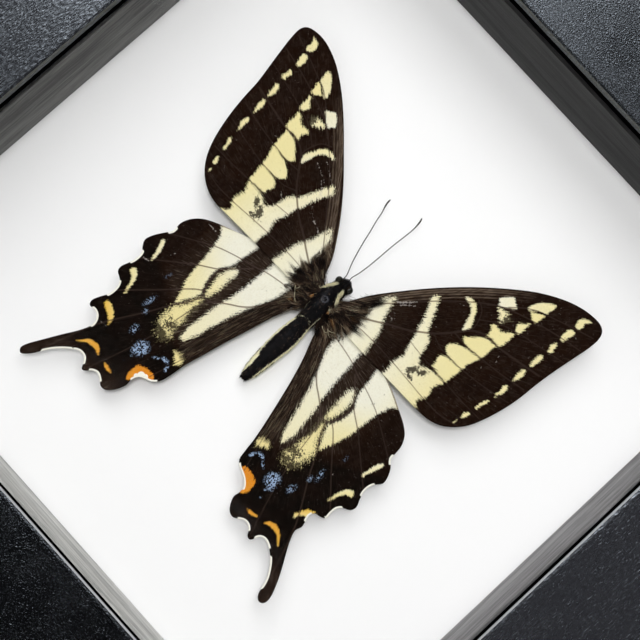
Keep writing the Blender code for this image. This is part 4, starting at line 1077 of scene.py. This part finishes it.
def hairs(root, middle, tip, width):
    """Tapering hairs as three-sided tubes. A hair's line is the blend of its root, middle and tip by the
    weights (1-t)(1-t), 2t(1-t) and tt; its width falls evenly from the root to a point at the tip."""
    t = np.linspace(0, 1, HAIR_STEPS + 1)[None, :, None]
    line = (1 - t) ** 2 * root[:, None] + 2 * t * (1 - t) * middle[:, None] + t ** 2 * tip[:, None]
    ahead = np.gradient(line, axis=1)
    ahead /= np.linalg.norm(ahead, axis=2, keepdims=True)
    aside = np.cross(ahead, (0.1, -1, 0.05))
    aside /= np.linalg.norm(aside, axis=2, keepdims=True)
    above = np.cross(ahead, aside)
    turn = np.arange(3) * 2 * math.pi / 3
    spoke = aside[:, :-1, None] * np.cos(turn)[:, None] + above[:, :-1, None] * np.sin(turn)[:, None]
    rings = line[:, :-1, None] + spoke * (width[:, None, None, None] * (1 - 0.8 * t[:, :-1, None]))
    count = 3 * HAIR_STEPS
    points = np.concatenate([rings.reshape(len(root), count, 3), line[:, -1:]], axis=1)
    ring = np.arange(count).reshape(HAIR_STEPS, 3)
    after = np.roll(ring, -1, axis=1)
    sides = np.stack([ring[:-1], after[:-1], after[1:], ring[1:]], -1).reshape(-1, 4)
    tips = np.stack([ring[-1], after[-1], np.full(3, count)], -1)
    first = (np.arange(len(root)) * (count + 1))[:, None, None]
    faces = [(first + part).reshape(-1, part.shape[1]) for part in (sides, tips, np.array([[2, 1, 0]]))]
    return points.reshape(-1, 3), faces


def hair_piece(name, bunches):
    """One mesh of several bunches of hairs; each bunch is roots, middles, tips, widths and tones."""
    root, middle, tip, width, tone = (np.concatenate([bunch[i] for bunch in bunches]) for i in range(5))
    placed, faces = hairs(root, middle, tip, width)
    piece = mesh_piece(name, placed, faces, HAIR)
    add_numbers(piece.data, "tone", np.repeat(tone, 3 * HAIR_STEPS + 1))
    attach(piece, "root")


def body_bunch(count, up_range, turn_range, length, rise, width, tones, wanted=None):
    """Hairs on the body's skin, combed towards the tail: each tip lies its length back from its root and
    its rise off the skin, with a random lean. wanted says which roots are kept."""
    up = rng.uniform(*up_range, count)
    turn = rng.uniform(*turn_range, count)
    root = body_point(up, turn)
    if wanted is not None:
        kept = wanted(root, up, turn)
        up, turn, root = up[kept], turn[kept], root[kept]
    n = len(up)
    normal = body_normal(up, turn)
    lean = rng.normal(0, 0.22, (n, 3))
    size = rng.uniform(*length, n)[:, None] * MM
    back = np.array([0, 0, -1.0]) + lean
    tip = root + (back * math.sqrt(max(0.0, 1 - rise ** 2)) + normal * rise) * size
    middle = root + (back * 0.35 + normal * (rise + 0.25)) * size * 0.5
    tone = rng.choice([part[0] for part in tones], n, p=[part[1] for part in tones])
    tone = tone + rng.normal(0, 0.025, n)
    return root - normal * 0.03 * MM, middle, tip, np.full(n, width * MM), np.clip(tone, 0, 1)


FRONT_HALF, ALL_ROUND = (-math.pi - 0.3, 0.3), (-math.pi, math.pi)


def on_pale(root, up, turn):
    """Roots in the body's yellow parts."""
    return pale_depth(root, up, turn) > 0.02


def off_pale(root, up, turn):
    """Roots in its black parts."""
    return pale_depth(root, up, turn) < 0.0


hair_piece("thorax_fur", [
    body_bunch(4200, (-3.4, 8.9), FRONT_HALF, (0.35, 0.8), 0.35, 0.03, [(BLACK_HAIR, 0.95),
                                                                        (TAN_HAIR, 0.05)],
               off_pale),
    body_bunch(1500, (5.6, 9.5), ALL_ROUND, (0.5, 1.0), 0.6, 0.022, [(BLACK_HAIR, 0.75),
                                                                     (BROWN_HAIR, 0.25)]),
    body_bunch(12000, (1.6, 7.4), FRONT_HALF, (0.5, 1.1), 0.65, 0.03, [(YELLOW_HAIR, 0.92),
                                                                       (TAN_HAIR, 0.08)],
               on_pale),
])
hair_piece("abdomen_velvet", [
    body_bunch(5500, (-21.2, -3.4), FRONT_HALF, (0.3, 0.6), 0.25, 0.034,
               [(BLACK_HAIR, 0.86), (BROWN_HAIR, 0.1), (TAN_HAIR, 0.04)], off_pale),
    body_bunch(5200, (-20.6, -3.4), ALL_ROUND, (0.3, 0.5), 0.22, 0.028, [(YELLOW_HAIR, 1.0)], on_pale),
])


def wing_bunch(side, pair, middle, turns, reach, length, width, tones, count, lift=0.5):
    """Hairs that lie out from a wing's base in wisps of two dozen. A wisp has its own angle and distance
    from the middle, drawn from turns (degrees) and reach; its hairs start spread out and draw together at
    the tips. They rise by lift from the base and lie down again."""
    wisps = max(4, count // HAIRS_IN_WISP)
    wisp = rng.integers(0, wisps, count)
    turn = np.radians(rng.uniform(*turns, wisps))[wisp]
    far = (reach[0] + (reach[1] - reach[0]) * rng.uniform(0, 1, wisps) ** 1.4)[wisp]
    far *= rng.uniform(0.8, 1.05, count)
    size = rng.uniform(*length, count)
    near_by = np.maximum(far - size, 0.1)
    spread = rng.normal(0, 0.5, count) / np.maximum(near_by, 0.8)
    bend = rng.normal(0, 0.05, wisps)[wisp]
    ways = [turn + spread - bend, turn + spread * 0.45, turn + bend + rng.normal(0, 0.02, count)]
    steps = [near_by, (near_by + far) / 2, far]
    lifts = [0.1 + lift * np.exp(-near_by / 2.0), 0.22 + lift * rng.uniform(0.2, 0.8, count),
             rng.uniform(0.08, 0.35, count)]
    spots = []
    for way, step, rise in zip(ways, steps, lifts):
        flat = np.array(middle) + np.stack([np.cos(way), np.sin(way)], 1) * step[:, None]
        if side == "left":
            flat = to_left(flat, pair) * (-1, 1)
        spots.append(on_board(flat, WING_HEIGHT[pair] + WING_RISE * step + rise))
    tone = rng.choice([part[0] for part in tones], wisps, p=[part[1] for part in tones])[wisp]
    return *spots, np.full(count, width * MM), np.clip(tone + rng.normal(0, 0.05, count), 0, 1)


def margin_bunch(side, line, inward, length, width, tones, count):
    """Hairs combed along a wing's inner margin: roots scattered beside the line, up to inward from it, and
    tips further along it, with a small random turn."""
    line = along_curve(line, False)
    run = np.cumsum(np.r_[0, np.linalg.norm(np.diff(line, axis=0), axis=1)])
    start = rng.uniform(0, run[-1] - 2, count)
    size = rng.uniform(*length, count)
    offset = rng.uniform(*inward, count)
    drift = rng.normal(0.05, 0.22, count)
    ahead = np.gradient(line, axis=0)
    ahead /= np.linalg.norm(ahead, axis=1, keepdims=True)
    spots = []
    for part, rise in ((0.0, 0.08), (0.5, 0.3), (1.0, 0.16)):
        at = np.minimum(start + part * size, run[-1])
        spot = np.stack([np.interp(at, run, line[:, i]) for i in (0, 1)], 1)
        way = np.stack([np.interp(at, run, ahead[:, i]) for i in (0, 1)], 1)
        flat = spot + np.stack([-way[:, 1], way[:, 0]], 1) * (offset + drift * part)[:, None]
        if side == "left":
            flat = to_left(flat, "hind") * (-1, 1)
        rises = rise * rng.uniform(0.5, 1.2, count)
        spots.append(on_board(flat, WING_HEIGHT["hind"] + WING_RISE * at + rises))
    tone = rng.choice([part[0] for part in tones], count, p=[part[1] for part in tones])
    return *spots, np.full(count, width * MM), np.clip(tone + rng.normal(0, 0.04, count), 0, 1)


def hinge_strips(side):
    """Thick pale strands along arcs, given by start, middle and end, just above the wing's hair."""
    arcs = np.array(HINGE_ARCS[side])
    sign = 1 if side == "right" else -1
    spots = [on_board(arcs[:, i] * (sign, 1), WING_HEIGHT["hind"] + HINGE_RISE) for i in range(3)]
    return *spots, np.full(len(arcs), 0.09 * MM), np.full(len(arcs), 0.62)


INNER_MARGIN = [(4.1, -3.6), (5.2, -5.6), (6.9, -8.8), (8.5, -13.2), (10.1, -18.6), (11.5, -23.6),
                (12.6, -27.6)]
DARK_MIX = [(BLACK_HAIR, 0.55), (BROWN_HAIR, 0.36), (TAN_HAIR, 0.09)]
MARGIN_MIX = [(BLACK_HAIR, 0.36), (BROWN_HAIR, 0.44), (TAN_HAIR, 0.20)]
FAIR_MIX = [(BLACK_HAIR, 0.35), (BROWN_HAIR, 0.3), (TAN_HAIR, 0.28), (AMBER_HAIR, 0.07)]
# Pale horny strips of the hindwings' hinges, outwards and up, and their height over the wing.
HINGE_ARCS = {"right": [[(4.4, -1.5), (5.0, -2.0), (5.4, -1.8)], [(5.3, -1.9), (5.8, -2.3), (6.2, -1.4)],
                        [(6.0, -1.2), (7.0, -0.9), (7.6, -0.3)], [(5.6, -1.0), (6.4, -1.9), (7.4, -2.0)]],
              "left": [[(5.8, 0.1), (5.4, -0.5), (4.8, -1.0)], [(4.9, -0.9), (4.3, -1.7), (3.8, -1.9)],
                       [(3.9, -1.8), (3.5, -2.3), (3.0, -2.1)], [(5.0, 0.6), (4.9, 0.0), (5.6, -0.4)]]}
HINGE_RISE = 1.5
for side in ("right", "left"):
    hair_piece("wing_base_hair_" + side, [
        wing_bunch(side, "fore", (2.0, 2.2), (-62, 60), (1.4, 3.6), (0.9, 2.0), 0.045, DARK_MIX, 1500, 1.2),
        wing_bunch(side, "fore", (2.4, 3.2), (-34, 54), (3.2, 8.2), (1.8, 3.8), 0.036, DARK_MIX, 3200, 0.8),
        wing_bunch(side, "fore", (2.4, 3.0), (-36, 44), (5.0, 9.8), (2.4, 4.6), 0.024, FAIR_MIX, 950, 0.6),
        wing_bunch(side, "fore", (2.6, 2.6), (50, 57), (6.0, 13.0), (1.5, 3.0), 0.026, DARK_MIX, 260, 0.2),
        wing_bunch(side, "hind", (2.4, 0.2), (-64, 14), (1.8, 5.6), (1.5, 2.8), 0.04, DARK_MIX, 2200, 0.8),
        wing_bunch(side, "hind", (2.4, 0.4), (-40, 16), (4.6, 7.0), (1.6, 3.0), 0.032, FAIR_MIX, 320, 0.6),
        margin_bunch(side, INNER_MARGIN, (0.1, 3.4), (1.8, 4.2), 0.028, MARGIN_MIX, 1700),
        hinge_strips(side),
        # the orange-brown tuft at the forewing's hinge
        wing_bunch(side, "fore", (3.1, 1.3), (-120, 120), (0.3, 1.0), (0.4, 0.8), 0.05,
                   [(AMBER_HAIR, 1.0)], 150, 1.3),
    ])

# ---------------------------------------------------------------- antennae
# Two thin dark antennae of some forty ringed joints each, swelling into a slight club at the tip. They
# grow from the head between the eyes and curve forward over the board.
ANTENNAE = {  # across, up and height off the board
    "left": [(-0.1, 8.9, 5.2), (-0.1, 9.5, 6), (-1.2, 12, 7), (-2, 14.2, 7.4), (-2.9, 17, 7.6),
             (-3.6, 19.5, 7.6), (-4.4, 22, 7.4), (-4.9, 24, 7.2), (-5.4, 25.3, 7), (-5.7, 26.3, 6.9),
             (-5.8, 27.4, 6.8)],
    "right": [(1.0, 9.2, 5.2), (1, 10.2, 6), (1.35, 11.6, 6.8), (1.65, 14.2, 7.3), (1.8, 17.5, 7.6),
              (1.9, 21, 7.6), (2.1, 24, 7.4), (2.2, 26.2, 7.2), (2.1, 27.8, 7), (1.9, 28.9, 6.9),
              (1.6, 29.7, 6.8)],
}
JOINT_LENGTH, ANTENNA_RADIUS, CLUB_RADIUS, CLUB_LENGTH = 0.42, 0.115, 0.2, 2.6  # mm
ANTENNA_SIDES, ANTENNA_STEP = 10, 0.07


def antenna(side, finish):
    """A round tube along the antenna's line: thinner at each joint by a cosine to the eighth power, and
    swelling by a bell curve into the club."""
    line = along_curve(ANTENNAE[side], False, 40)
    run = np.cumsum(np.r_[0, np.linalg.norm(np.diff(line, axis=0), axis=1)])
    at = np.arange(0, run[-1], ANTENNA_STEP)
    line = np.stack([np.interp(at, run, line[:, i]) for i in range(3)], 1)
    left_over = run[-1] - at
    club = np.exp(-((left_over - 1.1) / (CLUB_LENGTH / 2)) ** 2)
    joint = np.cos(at / JOINT_LENGTH * math.pi) ** 8
    radius = (ANTENNA_RADIUS + (CLUB_RADIUS - ANTENNA_RADIUS) * club) * (1 - 0.22 * joint)
    radius = radius * np.sqrt(np.clip(left_over / 0.3, 0.02, 1))
    middle = on_board(line[:, :2], line[:, 2])
    ahead = np.gradient(middle, axis=0)
    ahead /= np.linalg.norm(ahead, axis=1, keepdims=True)
    aside = np.cross(ahead, (0, -1, 0))
    aside /= np.linalg.norm(aside, axis=1, keepdims=True)
    above = np.cross(ahead, aside)
    turn = np.linspace(0, 2 * math.pi, ANTENNA_SIDES, endpoint=False)[None, :, None]
    spoke = aside[:, None] * np.cos(turn) + above[:, None] * np.sin(turn)
    rings = middle[:, None] + spoke * radius[:, None, None] * MM
    placed, faces = skin_rings(rings)
    piece = mesh_piece("antenna_ringed_" + side, placed, faces, finish)
    add_numbers(piece.data, "joint", np.append(np.repeat(joint, ANTENNA_SIDES), (0.0, 0.0)))
    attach(piece, "root")
    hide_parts("antenna_" + side)


horn = Finish("antenna_horn", (0.02, 0.018, 0.016), 0.45, Specular_IOR_Level=0.4)
joint = horn.number("joint")
horn.feed(Base_Color=horn.mix(joint, (0.014, 0.012, 0.011), (0.14, 0.13, 0.12)),
          Roughness=horn.ramp(joint, 0, 1, 0.4, 0.7))
for side in ANTENNAE:
    antenna(side, horn)

# ---------------------------------------------------------------- pin
# A black enamelled steel pin, pushed through the thorax into the board, holds the butterfly. It is the
# model's own piece, with a little dust on the enamel.
enamel = Finish("black_enamel", (0.006, 0.006, 0.008), 0.2)
dust = enamel.noise(enamel.place(), 3000.0)
enamel.feed(Base_Color=enamel.mix(dust, (0.004, 0.004, 0.005), (0.018, 0.018, 0.022)),
            Roughness=enamel.ramp(dust, 0.4, 0.7, 0.15, 0.4))
give_finish("insect_pin", enamel)

# ---------------------------------------------------------------- backboard
# A sheet of brown hardboard with its smooth face out, flecked with darker and paler fibres. It is cut to the
# rebate and closes the case behind the board.
hardboard = Finish("hardboard", (0.17, 0.095, 0.05), 0.6)
place = hardboard.place()
fibres = hardboard.noise(place, 1100.0, 6.0, 0.75, 1.2)
share = hardboard.ramp(hardboard.add(hardboard.noise(place, 35.0, 4.0), 0.5, fibres), 0.5, 1.0)
hardboard.feed(Base_Color=hardboard.mix(share, (0.09, 0.045, 0.022), (0.30, 0.18, 0.095)),
               Roughness=hardboard.ramp(fibres, 0.3, 0.7, 0.42, 0.7))
hardboard.dent(fibres, 0.08 * MM, 0.6)
give_finish("backboard", hardboard)

# ---------------------------------------------------------------- metal fittings
# Zinc-plated steel: eight flat tabs pushed into the rebate over the backboard, and a toothed hanger with
# its two screws on the backboard. The plating is finely scratched and dulled in patches.
def zinc_plate(name, scratches_along):
    """The scratches are a noise drawn out along one way; a broad noise sets tone and dull patches."""
    zinc = Finish(name, (0.56, 0.56, 0.55), 0.35, Metallic=0.7)
    place = zinc.place()
    stretch = [1.0, 1.0, 1.0]
    stretch[scratches_along] = 0.05
    scratches = drawn_grain(zinc, place, stretch, 5200.0)
    patches = zinc.noise(place, 320.0, 4.0)
    zinc.feed(Base_Color=zinc.mix(patches, (0.36, 0.36, 0.37), (0.66, 0.65, 0.62)),
              Roughness=zinc.ramp(zinc.add(patches, 0.8, scratches), 0.6, 1.2, 0.24, 0.55))
    zinc.dent(scratches, 0.008 * MM, 0.5)
    return zinc


zinc_across, zinc_upright = zinc_plate("zinc_across", 0), zinc_plate("zinc_upright", 2)
for end in ("a", "b"):
    for side in ("left", "right"):
        give_finish(f"retaining_tab_{side}_{end}", zinc_across)
    for side in ("top", "bottom"):
        give_finish(f"retaining_tab_{side}_{end}", zinc_upright)
give_finish("hanger_plate", zinc_across)
for side in ("left", "right"):
    give_finish("hanger_screw_" + side, zinc_across)
